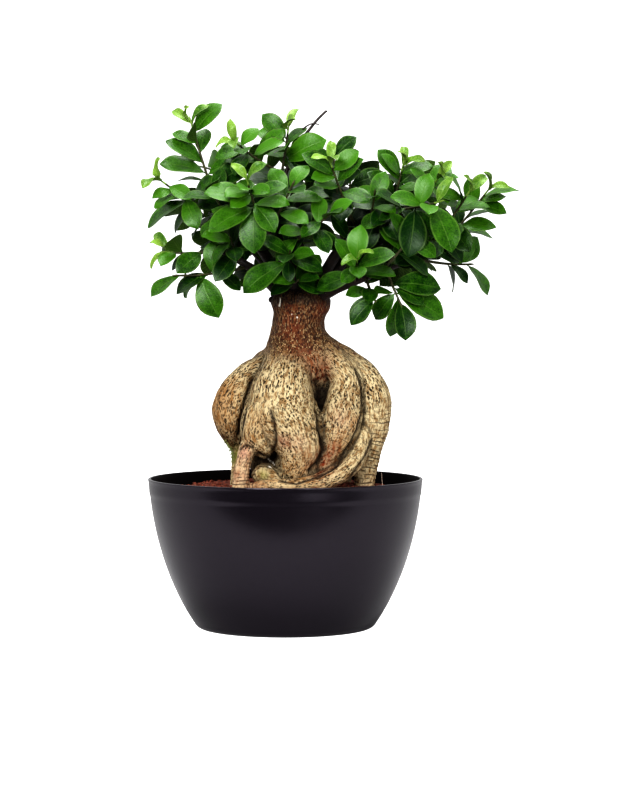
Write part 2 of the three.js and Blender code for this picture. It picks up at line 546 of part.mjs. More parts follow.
const stems = SHOOTS.map((shoot) => ({ shoot, curve: stemCurve(shoot), parts: [] }));
for (const stem of stems) {
  const taper = between(STEM_BASE_RADIUS, STEM_TIP_RADIUS);
  stem.node = "shoot_" + stem.shoot.name;
  stem.parts.push(rod(stem.curve, taper, STEM_SIDES, STEM_RINGS));
  place(stem.node, stem.parts[0]);
}

const youngStems = stems.filter(({ shoot }) => shoot.young).map(({ shoot, curve }, i) => {
  const growth = youngGrowth(shoot, curve, 500 + i);
  const node = "young_" + shoot.name;
  const taper = between(YOUNG_BASE_RADIUS, YOUNG_TIP_RADIUS);
  const parts = [rod(growth.curve, taper, STEM_SIDES, 1)];
  place(node, parts[0]);
  return { node, growth, parts };
});

// Puts a leaf on its stem at a share of the way up, where it finds room.
function addLeaf({ node, parts }, base, wish, form) {
  const solid = settle(node, base, wish, form);
  if (solid) parts.push(solid);
}

// How far up its stem a leaf stands, as number i of count.
const leafAt = (i, count) => FIRST_LEAF_AT + (LAST_LEAF_AT - FIRST_LEAF_AT) * (i / count);

for (const stem of youngStems)
  for (const { at, wish } of stem.growth.wishes) addLeaf(stem, stem.growth.curve.getPoint(at), wish, YOUNG);
for (const stem of stems) {
  const listed = stem.shoot.leaves ?? [];
  listed.forEach((wish, i) => addLeaf(stem, stem.curve.getPoint(leafAt(i, listed.length - 1)), wish, GROWN));
}
stems.forEach((stem, index) => {
  const { more } = stem.shoot;
  ruledLeaves(more, stem.curve, 100 + index).forEach((wish, i) =>
    addLeaf(stem, stem.curve.getPoint(leafAt(i + 0.5, more)), wish, FURTHER));
});

const object = new THREE.Group();
object.add(meshOf("bowl", bowl(), plastic));
object.add(meshOf("soil", soil(lowRoots.map((points) => root(points, CLEARANCE))), earth));
object.add(meshOf("tree", treeSolid, bark));
for (const { node, parts } of stems) object.add(meshOf(node, joined(parts), leafGreen));
for (const { node, parts } of youngStems) object.add(meshOf(node, joined(parts), limeGreen));

export default object;
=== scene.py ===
"""A ficus bonsai in a round black bowl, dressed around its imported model.

All lengths are millimetres until a mesh is made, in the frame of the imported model: the origin is the middle of the
bowl's underside, X points right, Y away from the viewer and Z up.
"""

import logging
import math
from collections.abc import Iterator
from dataclasses import dataclass, field
from enum import Enum

import bpy
import numpy as np
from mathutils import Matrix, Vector


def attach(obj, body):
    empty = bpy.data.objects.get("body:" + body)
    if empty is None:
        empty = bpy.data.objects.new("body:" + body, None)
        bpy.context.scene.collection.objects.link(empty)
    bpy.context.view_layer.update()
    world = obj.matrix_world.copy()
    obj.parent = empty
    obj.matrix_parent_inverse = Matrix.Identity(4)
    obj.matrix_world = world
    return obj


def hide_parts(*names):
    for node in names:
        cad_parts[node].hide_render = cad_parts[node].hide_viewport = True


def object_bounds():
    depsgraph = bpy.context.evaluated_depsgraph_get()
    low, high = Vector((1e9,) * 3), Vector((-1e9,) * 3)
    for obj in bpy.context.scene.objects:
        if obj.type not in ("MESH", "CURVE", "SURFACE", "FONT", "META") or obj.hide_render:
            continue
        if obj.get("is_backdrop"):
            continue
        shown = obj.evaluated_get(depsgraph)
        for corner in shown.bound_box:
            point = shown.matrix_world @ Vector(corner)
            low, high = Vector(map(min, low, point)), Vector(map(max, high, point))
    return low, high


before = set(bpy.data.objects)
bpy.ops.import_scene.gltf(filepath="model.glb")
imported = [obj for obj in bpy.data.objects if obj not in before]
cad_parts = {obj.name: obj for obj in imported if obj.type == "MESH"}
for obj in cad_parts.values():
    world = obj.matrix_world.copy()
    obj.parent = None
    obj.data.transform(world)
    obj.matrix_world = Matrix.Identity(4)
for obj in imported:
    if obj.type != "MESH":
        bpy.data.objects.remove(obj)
CAD_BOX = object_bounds()

LOG = logging.getLogger("ficus")
Array = np.ndarray
Mesh = bpy.types.Mesh
Material = bpy.types.Material
Tree = bpy.types.NodeTree
Node = bpy.types.Node
Socket = bpy.types.NodeSocket
Sockets = bpy.types.bpy_prop_collection
Place = tuple[float, float, float]
Colour = tuple[float, float, float]
Span = tuple[float, float]
Rounds = tuple[int, float]
MM = 0.001
NOISE_CELLS = 24
WHITE = (1.0, 1.0, 1.0)
TOWARDS_BACK = np.array([0.0, 1.0, 0.0])


class Slot(Enum):
    """The names of the record's material slots."""

    BOWL = "bowl_plastic"
    SOIL = "potting_soil"
    BARK = "bark"
    LEAF = "leaf"
    YOUNG_LEAF = "young_leaf"


class Age(Enum):
    """How far a leaf has grown."""

    GROWN = "grown"
    YOUNG = "young"


# Points, vectors and noise


def unit(vectors: Array) -> Array:
    """Vectors of length one along the last axis."""
    return vectors / np.linalg.norm(vectors, axis=-1, keepdims=True)


def smooth_step(values: Array, low: float, high: float) -> Array:
    """A rise from 0 at low to 1 at high by the smooth weights 3t² - 2t³."""
    t = np.clip((values - low) / (high - low), 0.0, 1.0)
    return t * t * (3.0 - 2.0 * t)


def turned(vector: Array, axis: Array, degrees: float) -> Array:
    """A vector turned about a unit axis, by the turning formula v cos + (k x v) sin + k (k.v)(1 - cos)."""
    angle = math.radians(degrees)
    around = np.cross(axis, vector)
    return vector * math.cos(angle) + around * math.sin(angle) + axis * (axis @ vector) * (1.0 - math.cos(angle))


def circle(count: int) -> Array:
    """Evenly spaced angles round a circle, in radians."""
    return np.linspace(0.0, 2.0 * math.pi, count, endpoint=False)


def bezier(start: Array, bend: Array, end: Array, shares: Array) -> Array:
    """Points of the bow (1-t)² start + 2t(1-t) bend + t² end at shares t of it."""
    t = np.asarray(shares, float)[:, None]
    return (1 - t) ** 2 * start + 2 * t * (1 - t) * bend + t**2 * end


def spline(knots: Array, shares: Array) -> Array:
    """Points of the smooth curve through knots at shares of the way, with the knots evenly spaced along it.

    Between two knots it is the cubic whose slope at a knot is half the step from the knot before to the knot after.
    Past each end a further knot is taken in line with the last two.

    Args:
        knots: The knots, one a row.
        shares: Where along the curve, from 0 to 1.

    Returns:
        The points, one a row.
    """
    ends = [2 * knots[:1] - knots[1:2], knots, 2 * knots[-1:] - knots[-2:-1]]
    padded = np.concatenate(ends)
    place = np.clip(np.asarray(shares, float), 0.0, 1.0) * (len(knots) - 1)
    low = np.minimum(place.astype(int), len(knots) - 2)
    t = (place - low)[:, None]
    before, a, b, after = (padded[low + k] for k in range(4))
    slope_a, slope_b = 0.5 * (b - before), 0.5 * (after - a)
    return a + slope_a * t + (3 * (b - a) - 2 * slope_a - slope_b) * t**2 + (2 * (a - b) + slope_a + slope_b) * t**3


def lengths_along(path: Array) -> Array:
    """How far along a path each of its points lies."""
    return np.concatenate([[0.0], np.cumsum(np.linalg.norm(np.diff(path, axis=0), axis=1))])


def lattice_noise(points: Array, size: float, seed: int) -> Array:
    """Smooth noise from -1 to 1, with lumps about size across.

    A cube of random values repeats through space. Each point takes the eight values round it, mixed by the smooth
    weights 3t² - 2t³ on every axis.

    Args:
        points: Where it is wanted, in millimetres.
        size: The lattice's step in millimetres.
        seed: The number that the random values grow from.

    Returns:
        One value a point.
    """
    table = np.random.default_rng(seed).uniform(-1.0, 1.0, (NOISE_CELLS,) * 3)
    place = points / size
    low = np.floor(place).astype(int)
    t = place - low
    t = t * t * (3.0 - 2.0 * t)
    total = np.zeros(points.shape[:-1])
    for corner in np.ndindex(2, 2, 2):
        index = (low + corner) % NOISE_CELLS
        weight = np.prod(np.where(np.array(corner) == 1, t, 1.0 - t), axis=-1)
        total += weight * table[index[..., 0], index[..., 1], index[..., 2]]
    return total


@dataclass(frozen=True)
class Lumps:
    """Seeded noise over points, by its height, the size of its lumps and its seed."""

    height: float
    size: float
    seed: int

    def over(self, points: Array) -> Array:
        """Its value at each point."""
        return self.height * lattice_noise(points, self.size, self.seed)


def draws(seed: int) -> Iterator[float]:
    """The repeatable stream of numbers from 0 to 1 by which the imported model's leaves were set out."""
    mask = 0xFFFFFFFF
    state = seed
    while True:
        state = (state + 0x6D2B79F5) & mask
        mixed = ((state ^ (state >> 15)) * (state | 1)) & mask
        mixed ^= (mixed + (((mixed ^ (mixed >> 7)) * (mixed | 61)) & mask)) & mask
        yield ((mixed ^ (mixed >> 14)) & mask) / 2**32


# Surfaces


@dataclass
class Shell:
    """A closed surface: its points, its four-sided and three-sided faces, and what is painted on it."""

    points: Array
    quads: Array
    triangles: Array
    on_points: dict[str, Array] = field(default_factory=dict)
    on_faces: dict[str, Array] = field(default_factory=dict)
    uv: Array | None = None
    finish: int = 0

    def mesh(self, name: str) -> Mesh:
        """A Blender mesh of the surface, in metres."""
        return join_shells(name, [self])


def join_shells(name: str, shells: list[Shell]) -> Mesh:
    """One mesh of several surfaces, with their paint and their finishes.

    Args:
        name: The mesh's name.
        shells: The surfaces. A paint that one of them lacks is 0 on it.

    Returns:
        The mesh, in metres, smooth shaded, with sharp edges where paint "rim" marks both ends.
    """
    whole = merged(shells)
    points, quads, triangles = whole.points, whole.quads, whole.triangles
    corners = np.concatenate([quads.ravel(), triangles.ravel()]).astype(np.int32)
    starts = np.concatenate([np.arange(len(quads)) * 4, len(quads) * 4 + np.arange(len(triangles)) * 3])
    mesh = bpy.data.meshes.new(name)
    mesh.vertices.add(len(points))
    put_points(mesh, points)
    mesh.loops.add(len(corners))
    mesh.loops.foreach_set("vertex_index", corners)
    mesh.polygons.add(len(starts))
    mesh.polygons.foreach_set("loop_start", starts.astype(np.int32))
    mesh.polygons.foreach_set("use_smooth", np.ones(len(starts), bool))
    finish = [np.full(len(s.quads), s.finish) for s in shells] + [np.full(len(s.triangles), s.finish) for s in shells]
    mesh.polygons.foreach_set("material_index", np.concatenate(finish).astype(np.int32))
    mesh.update(calc_edges=True)
    for paint in sorted({key for s in shells for key in s.on_points}):
        values = np.concatenate([s.on_points.get(paint, np.zeros(len(s.points))) for s in shells])
        put_attribute(mesh, paint, values, "POINT")
        if paint == "rim":
            sharpen(mesh, values)
    for paint in sorted({key for s in shells for key in s.on_faces}):
        plain = [s.on_faces.get(paint, np.zeros(len(s.quads) + len(s.triangles))) for s in shells]
        values = [v[: len(s.quads)] for s, v in zip(shells, plain)] + [v[len(s.quads) :] for s, v in zip(shells, plain)]
        put_attribute(mesh, paint, np.concatenate(values), "FACE")
    if any(s.uv is not None for s in shells):
        places = np.concatenate([np.zeros((len(s.points), 2)) if s.uv is None else s.uv for s in shells])
        layer = mesh.uv_layers.new(name="blade")
        layer.data.foreach_set("uv", places[corners].astype(np.float32).ravel())
    return mesh


def put_points(mesh: Mesh, points: Array) -> None:
    """Writes a mesh's points, given in millimetres."""
    mesh.vertices.foreach_set("co", (points * MM).astype(np.float32).ravel())


def put_object(name: str, data: bpy.types.ID) -> bpy.types.Object:
    """Puts a new object with the data into the scene."""
    made = bpy.data.objects.new(name, data)
    bpy.context.scene.collection.objects.link(made)
    return made


def put_attribute(mesh: Mesh, name: str, values: Array, domain: str) -> None:
    """Writes numbers or vectors on a mesh's points or faces."""
    kind, key = ("FLOAT", "value") if values.ndim == 1 else ("FLOAT_VECTOR", "vector")
    attribute = mesh.attributes.new(name, kind, domain)
    attribute.data.foreach_set(key, values.astype(np.float32).ravel())


def edge_ends(mesh: Mesh) -> Array:
    """The numbers of the two points of each edge, one edge a row."""
    ends = np.empty(len(mesh.edges) * 2, np.int32)
    mesh.edges.foreach_get("vertices", ends)
    return ends.reshape(-1, 2)


def sharpen(mesh: Mesh, rim: Array) -> None:
    """Marks every edge as sharp whose two ends lie on the rim."""
    on_rim = (rim[edge_ends(mesh)] > 0.5).all(axis=1)
    sharp = mesh.attributes.new("sharp_edge", "BOOLEAN", "EDGE")
    sharp.data.foreach_set("value", on_rim)


def tube_faces(rings: int, sides: int) -> tuple[Array, Array]:
    """The faces of a tube of rings, closed by a pole at each end. The poles are the last two points.

    Args:
        rings: How many rings it has.
        sides: How many points each ring has.

    Returns:
        The four-sided faces between the rings, and the three-sided ones at the poles.
    """
    i, j = np.meshgrid(np.arange(rings - 1), np.arange(sides), indexing="ij")
    after = (j + 1) % sides
    quads = np.stack([i * sides + j, i * sides + after, (i + 1) * sides + after, (i + 1) * sides + j], -1)
    around = np.arange(sides)
    onward = (around + 1) % sides
    last = (rings - 1) * sides
    foot = np.stack([np.full(sides, rings * sides), onward, around], -1)
    head = np.stack([np.full(sides, rings * sides + 1), last + around, last + onward], -1)
    return quads.reshape(-1, 4), np.concatenate([foot, head])


def merged(shells: list[Shell]) -> Shell:
    """Several surfaces as one, without their paint and their finishes."""
    first = np.cumsum([0] + [len(s.points) for s in shells])
    return Shell(
        np.concatenate([s.points for s in shells]),
        np.concatenate([s.quads + n for s, n in zip(shells, first)]),
        np.concatenate([s.triangles + n for s, n in zip(shells, first)]),
    )


def carried_frames(centres: Array, reference: Array) -> tuple[Array, Array, Array]:
    """The tangent of a path and two directions square to it, the first also square to a reference direction."""
    along = unit(np.gradient(centres, axis=0))
    side = unit(np.cross(reference, along))
    return along, side, np.cross(along, side)


def tube(centres: Array, radii: Array, sides: int, reference: Array = TOWARDS_BACK) -> Shell:
    """A closed tube along a path: circles of the given radii square to it, with a pole at each end.

    Args:
        centres: The path's points, one a row.
        radii: The radius at each point, or at each point and side.
        sides: The number of points round it.
        reference: A direction that the path never takes.

    Returns:
        The surface.
    """
    _, side, up = carried_frames(centres, reference)
    angle = circle(sides)
    out = side[:, None] * np.cos(angle)[None, :, None] + up[:, None] * np.sin(angle)[None, :, None]
    widths = radii if radii.ndim == 2 else np.repeat(radii[:, None], sides, axis=1)
    rings = centres[:, None] + out * widths[..., None]
    quads, triangles = tube_faces(len(centres), sides)
    return Shell(np.concatenate([rings.reshape(-1, 3), centres[:1], centres[-1:]]), quads, triangles)


def lathe(radii: Array, levels: Array, sides: int) -> Shell:
    """A profile turned about the Z axis: x = r cos a, y = r sin a, z = level.

    Args:
        radii: The profile's radii.
        levels: Its levels, from one pole to the other.
        sides: The number of points round the axis.

    Returns:
        The surface.
    """
    angle = circle(sides)
    level = np.repeat(levels[:, None], sides, axis=1)
    rings = np.stack([radii[:, None] * np.cos(angle), radii[:, None] * np.sin(angle), level], -1)
    quads, triangles = tube_faces(len(radii), sides)
    poles = np.array([[0.0, 0.0, levels[0]], [0.0, 0.0, levels[-1]]])
    return Shell(np.concatenate([rings.reshape(-1, 3), poles]), quads, triangles)


def mesh_points(mesh: Mesh) -> Array:
    """The points of a mesh in millimetres, one a row."""
    flat = np.empty(len(mesh.vertices) * 3, np.float32)
    mesh.vertices.foreach_get("co", flat)
    return flat.reshape(-1, 3).astype(float) / MM


def add_piece(mesh: Mesh, slot: Slot, finishes: list[Material], *nodes: str) -> None:
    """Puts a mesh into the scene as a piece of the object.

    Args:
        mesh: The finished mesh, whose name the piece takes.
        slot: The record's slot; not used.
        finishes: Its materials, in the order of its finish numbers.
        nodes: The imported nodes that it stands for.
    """
    for material in finishes:
        mesh.materials.append(material)
    made = put_object(mesh.name, mesh)
    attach(made, "root")
    if nodes:
        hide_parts(*nodes)
    LOG.info("%s: %d faces", made.name, len(mesh.polygons))


# Shader nodes


class Graph:
    """A node tree under way, with short calls for the nodes that the finishes use."""

    def __init__(self, tree: Tree) -> None:
        """Takes the tree to fill."""
        self.tree = tree

    def add(self, kind: str, inputs: dict | None = None, **settings: object) -> Node:
        """A new node.

        Args:
            kind: The node's type name.
            inputs: Values or sockets for its inputs, by name or number.
            settings: Its other settings.

        Returns:
            The node.
        """
        node = self.tree.nodes.new(kind)
        for key, value in settings.items():
            setattr(node, key, value)
        for key, value in (inputs or {}).items():
            self.feed(node.inputs[key], value)
        return node

    def feed(self, socket: Socket, value: object) -> None:
        """Links a socket to an input, or sets the input's own value."""
        if isinstance(value, Socket):
            self.tree.links.new(value, socket)
        elif socket.type == "RGBA":
            socket.default_value = (*value, 1.0)
        else:
            socket.default_value = value

    def math(self, operation: str, a: object, b: object = 0.0) -> Socket:
        """The result of one of Blender's sums on one or two numbers."""
        return self.add("ShaderNodeMath", {0: a, 1: b}, operation=operation).outputs[0]

    def plus(self, a: object, b: object) -> Socket:
        """The sum of two numbers."""
        return self.math("ADD", a, b)

    def minus(self, a: object, b: object) -> Socket:
        """A number less another."""
        return self.math("SUBTRACT", a, b)

    def times(self, a: object, b: object) -> Socket:
        """The product of two numbers."""
        return self.math("MULTIPLY", a, b)

    def mix(self, share: object, a: object, b: object) -> Socket:
        """Colour a with colour b laid over it by a share."""
        return self.add("ShaderNodeMix", {0: share, 6: a, 7: b}, data_type="RGBA").outputs[2]

    def spread(self, value: object, low: float, high: float, to_low: float = 0.0, to_high: float = 1.0) -> Socket:
        """A value's smooth rise from to_low to to_high as it goes from low to high."""
        inputs = {"Value": value, "From Min": low, "From Max": high, "To Min": to_low, "To Max": to_high}
        return self.add("ShaderNodeMapRange", inputs, interpolation_type="SMOOTHSTEP").outputs["Result"]

    def noise(self, place: object, scale: object, detail: float = 3.0, rough: float = 0.55) -> Socket:
        """Noise from 0 to 1 at a place."""
        inputs = {"Vector": place, "Scale": scale, "Detail": detail, "Roughness": rough}
        return self.add("ShaderNodeTexNoise", inputs).outputs["Fac"]

    def stretched(self, place: object, by: Place) -> Socket:
        """A place with each of its axes multiplied."""
        return self.add("ShaderNodeVectorMath", {0: place, 1: by}, operation="MULTIPLY").outputs[0]

    def paint(self, name: str, output: str = "Fac") -> Socket:
        """What is painted on the piece under a name."""
        return self.add("ShaderNodeAttribute", attribute_name=name).outputs[output]

    def place(self) -> Socket:
        """The point's place on the piece, in metres."""
        return self.add("ShaderNodeTexCoord").outputs["Object"]

    def bump(self, height: object, strength: float, depth: float) -> Socket:
        """A normal bent by a height."""
        return self.add("ShaderNodeBump", {"Height": height, "Strength": strength, "Distance": depth}).outputs[0]

    def use(self, group: Tree, inputs: dict) -> Node:
        """A shared effect placed in this tree with its own values."""
        return self.add("ShaderNodeGroup", inputs, node_tree=group)


def start_material(name: str) -> tuple[Material, Graph, Sockets]:
    """A new material, its graph and the inputs of its Principled shader."""
    material = bpy.data.materials.new(name)
    material.use_nodes = True
    return material, Graph(material.node_tree), material.node_tree.nodes["Principled BSDF"].inputs


def start_group(name: str, inputs: dict[str, float | None], outputs: list[str]) -> tuple[Tree, Graph, Sockets, Sockets]:
    """A new node group.

    Args:
        name: Its name.
        inputs: Its inputs with their values, where None stands for a vector.
        outputs: The names of its outputs, each a number.

    Returns:
        The group, its graph, what it is given and what it puts out.
    """
    tree = bpy.data.node_groups.new(name, "ShaderNodeTree")
    for key, value in inputs.items():
        kind = "NodeSocketVector" if value is None else "NodeSocketFloat"
        socket = tree.interface.new_socket(key, in_out="INPUT", socket_type=kind)
        if value is not None:
            socket.default_value = value
    for key in outputs:
        tree.interface.new_socket(key, in_out="OUTPUT", socket_type="NodeSocketFloat")
    return tree, Graph(tree), tree.nodes.new("NodeGroupInput").outputs, tree.nodes.new("NodeGroupOutput").inputs


def flecks_group() -> Tree:
    """Scattered marks: each cell of a Voronoi pattern holds one mark round its middle, if its lot falls to it.

    Inputs are Place, which is stretched beforehand to lengthen the marks, Scale in cells a metre, Width of a mark as
    a share of a cell and Share of the cells that have one. Mask is 1 in a mark.
    """
    inputs = {"Place": None, "Scale": 300.0, "Width": 0.3, "Share": 0.6}
    tree, graph, given, out = start_group("flecks", inputs, ["Mask"])
    cell = graph.add("ShaderNodeTexVoronoi", {"Vector": given["Place"], "Scale": given["Scale"]})
    lots = graph.add("ShaderNodeSeparateColor", {"Color": cell.outputs["Color"]})
    chosen = graph.math("LESS_THAN", lots.outputs[0], given["Share"])
    size = graph.times(given["Width"], graph.spread(lots.outputs[1], 0.0, 1.0, 0.55, 1.25))
    near = graph.math("DIVIDE", cell.outputs["Distance"], size)
    mark = graph.spread(near, 1.15, 0.75)
    graph.feed(out["Mask"], graph.times(mark, chosen))
    return tree


def mottle_group() -> Tree:
    """Uneven tone: broad noise with finer noise on it, spread by Contrast round the middle value 0.5."""
    tree, graph, given, out = start_group("mottle", {"Place": None, "Scale": 40.0, "Contrast": 1.5}, ["Tone"])
    broad = graph.noise(given["Place"], given["Scale"], 4.0, 0.6)
    centred = graph.minus(broad, 0.5)
    wide = graph.times(centred, given["Contrast"])
    tone = graph.add("ShaderNodeClamp", {"Value": graph.plus(wide, 0.5)})
    graph.feed(out["Tone"], tone.outputs[0])
    return tree


def rings_group() -> Tree:
    """Cracks across a root: thin lines at wavering steps along it, broken up by noise.

    Grain is the place in the root's own directions, whose third runs along it, in metres. Step is their spacing in
    metres and Width half a crack's width as a share of it. Mask is 1 in a crack.
    """
    tree, graph, given, out = start_group("ring cracks", {"Grain": None, "Step": 0.004, "Width": 0.15}, ["Mask"])
    grain = given["Grain"]
    parts = graph.add("ShaderNodeSeparateXYZ", {"Vector": grain})
    waver = graph.noise(grain, 60.0, 2.0)
    along = graph.math("DIVIDE", parts.outputs[2], given["Step"])
    phase = graph.math("FRACT", graph.plus(along, graph.times(waver, 1.5)))
    offset = graph.math("ABSOLUTE", graph.minus(phase, 0.5))
    line = graph.spread(graph.math("DIVIDE", offset, given["Width"]), 1.0, 0.4)
    broken = graph.spread(graph.noise(graph.stretched(grain, (0.6, 0.6, 2.6)), 170.0, 2.0), 0.44, 0.54)
    graph.feed(out["Mask"], graph.times(line, broken))
    return tree


def veins_group() -> Tree:
    """A leaf's midrib, side veins, pale margin and thin dark edge, from its blade map: along it from 0 to 1 and
    across it from 0 to 1.

    Side veins leave the midrib at a slant and bend forwards: they are lines of along - 0.22 |across|^0.8.
    """
    tree, graph, given, out = start_group("leaf veins", {"Blade": None}, ["Midrib", "Veins", "Margin", "Edge"])
    parts = graph.add("ShaderNodeSeparateXYZ", {"Vector": given["Blade"]})
    from_rib = graph.math("ABSOLUTE", graph.times(graph.minus(parts.outputs[1], 0.5), 2.0))
    along = parts.outputs[0]
    rib_width = graph.spread(along, 0.0, 1.0, 0.10, 0.03)
    graph.feed(out["Midrib"], graph.spread(graph.math("DIVIDE", from_rib, rib_width), 1.0, 0.35))
    slant = graph.minus(along, graph.times(graph.math("POWER", from_rib, 0.8), 0.22))
    phase = graph.math("FRACT", graph.times(slant, 9.0))
    offset = graph.math("ABSOLUTE", graph.minus(phase, 0.5))
    graph.feed(out["Veins"], graph.spread(offset, 0.16, 0.02))
    graph.feed(out["Margin"], graph.spread(from_rib, 0.78, 0.9))
    graph.feed(out["Edge"], graph.spread(from_rib, 0.925, 0.985))
    return tree


@dataclass(frozen=True)
class Effects:
    """The shader effects that more than one finish uses, each built once."""

    flecks: Tree
    mottle: Tree
    rings: Tree
    veins: Tree

    def specks(self, graph: Graph, place: Socket, scale: float, width: float, share: float) -> Socket:
        """The mask of scattered marks at a place."""
        return graph.use(self.flecks, {"Place": place, "Scale": scale, "Width": width, "Share": share}).outputs[0]

    def tone(self, graph: Graph, place: Socket, scale: float, contrast: float) -> Socket:
        """An uneven tone at a place, from 0 to 1."""
        return graph.use(self.mottle, {"Place": place, "Scale": scale, "Contrast": contrast}).outputs[0]


# Finishes. Colours are linear.


@dataclass(frozen=True)
class BowlFinish:
    """Glossy black moulded plastic, with faint dust and a surface that is never quite even."""

    name: str = "glossy black plastic"
    colour: Colour = (0.0080, 0.0062, 0.0092)
    dusty: Colour = (0.011, 0.0095, 0.012)
    roughness: Span = (0.19, 0.27)
    specular: float = 0.58
    tint: Colour = (0.95, 0.86, 1.0)

    def material(self, effects: Effects) -> Material:
        """The material."""
        material, graph, shader = start_material(self.name)
        place = graph.place()
        cloud = effects.tone(graph, place, scale=22.0, contrast=1.6)
        specks = effects.specks(graph, place, scale=260.0, width=0.07, share=0.22)
        graph.feed(shader["Base Color"], graph.mix(specks, self.colour, self.dusty))
        graph.feed(shader["Roughness"], graph.spread(cloud, 0.0, 1.0, *self.roughness))
        graph.feed(shader["Normal"], graph.bump(graph.noise(place, 60.0, 2.0), 0.03, 0.001))
        graph.feed(shader["Specular IOR Level"], self.specular)
        graph.feed(shader["Specular Tint"], self.tint)
        return material


@dataclass(frozen=True)
class SoilFinish:
    """Moist reddish-brown peat compost, with dark hollows and a few pale fibres."""

    dark: Colour = (0.036, 0.011, 0.007)
    light: Colour = (0.32, 0.090, 0.054)
    fibre: Colour = (0.36, 0.22, 0.14)

    def material(self, effects: Effects) -> Material:
        """The material."""
        material, graph, shader = start_material("potting soil")
        place = graph.place()
        tone = effects.tone(graph, place, scale=330.0, contrast=2.6)
        fibres = effects.specks(graph, graph.stretched(place, (1.0, 3.0, 2.0)), scale=190.0, width=0.16, share=0.35)
        colour = graph.mix(fibres, graph.mix(tone, self.dark, self.light), self.fibre)
        graph.feed(shader["Base Color"], colour)
        graph.feed(shader["Normal"], graph.bump(graph.noise(place, 700.0, 4.0), 0.8, 0.0012))
        graph.feed(shader["Roughness"], 0.9)
        graph.feed(shader["Specular IOR Level"], 0.2)
        return material


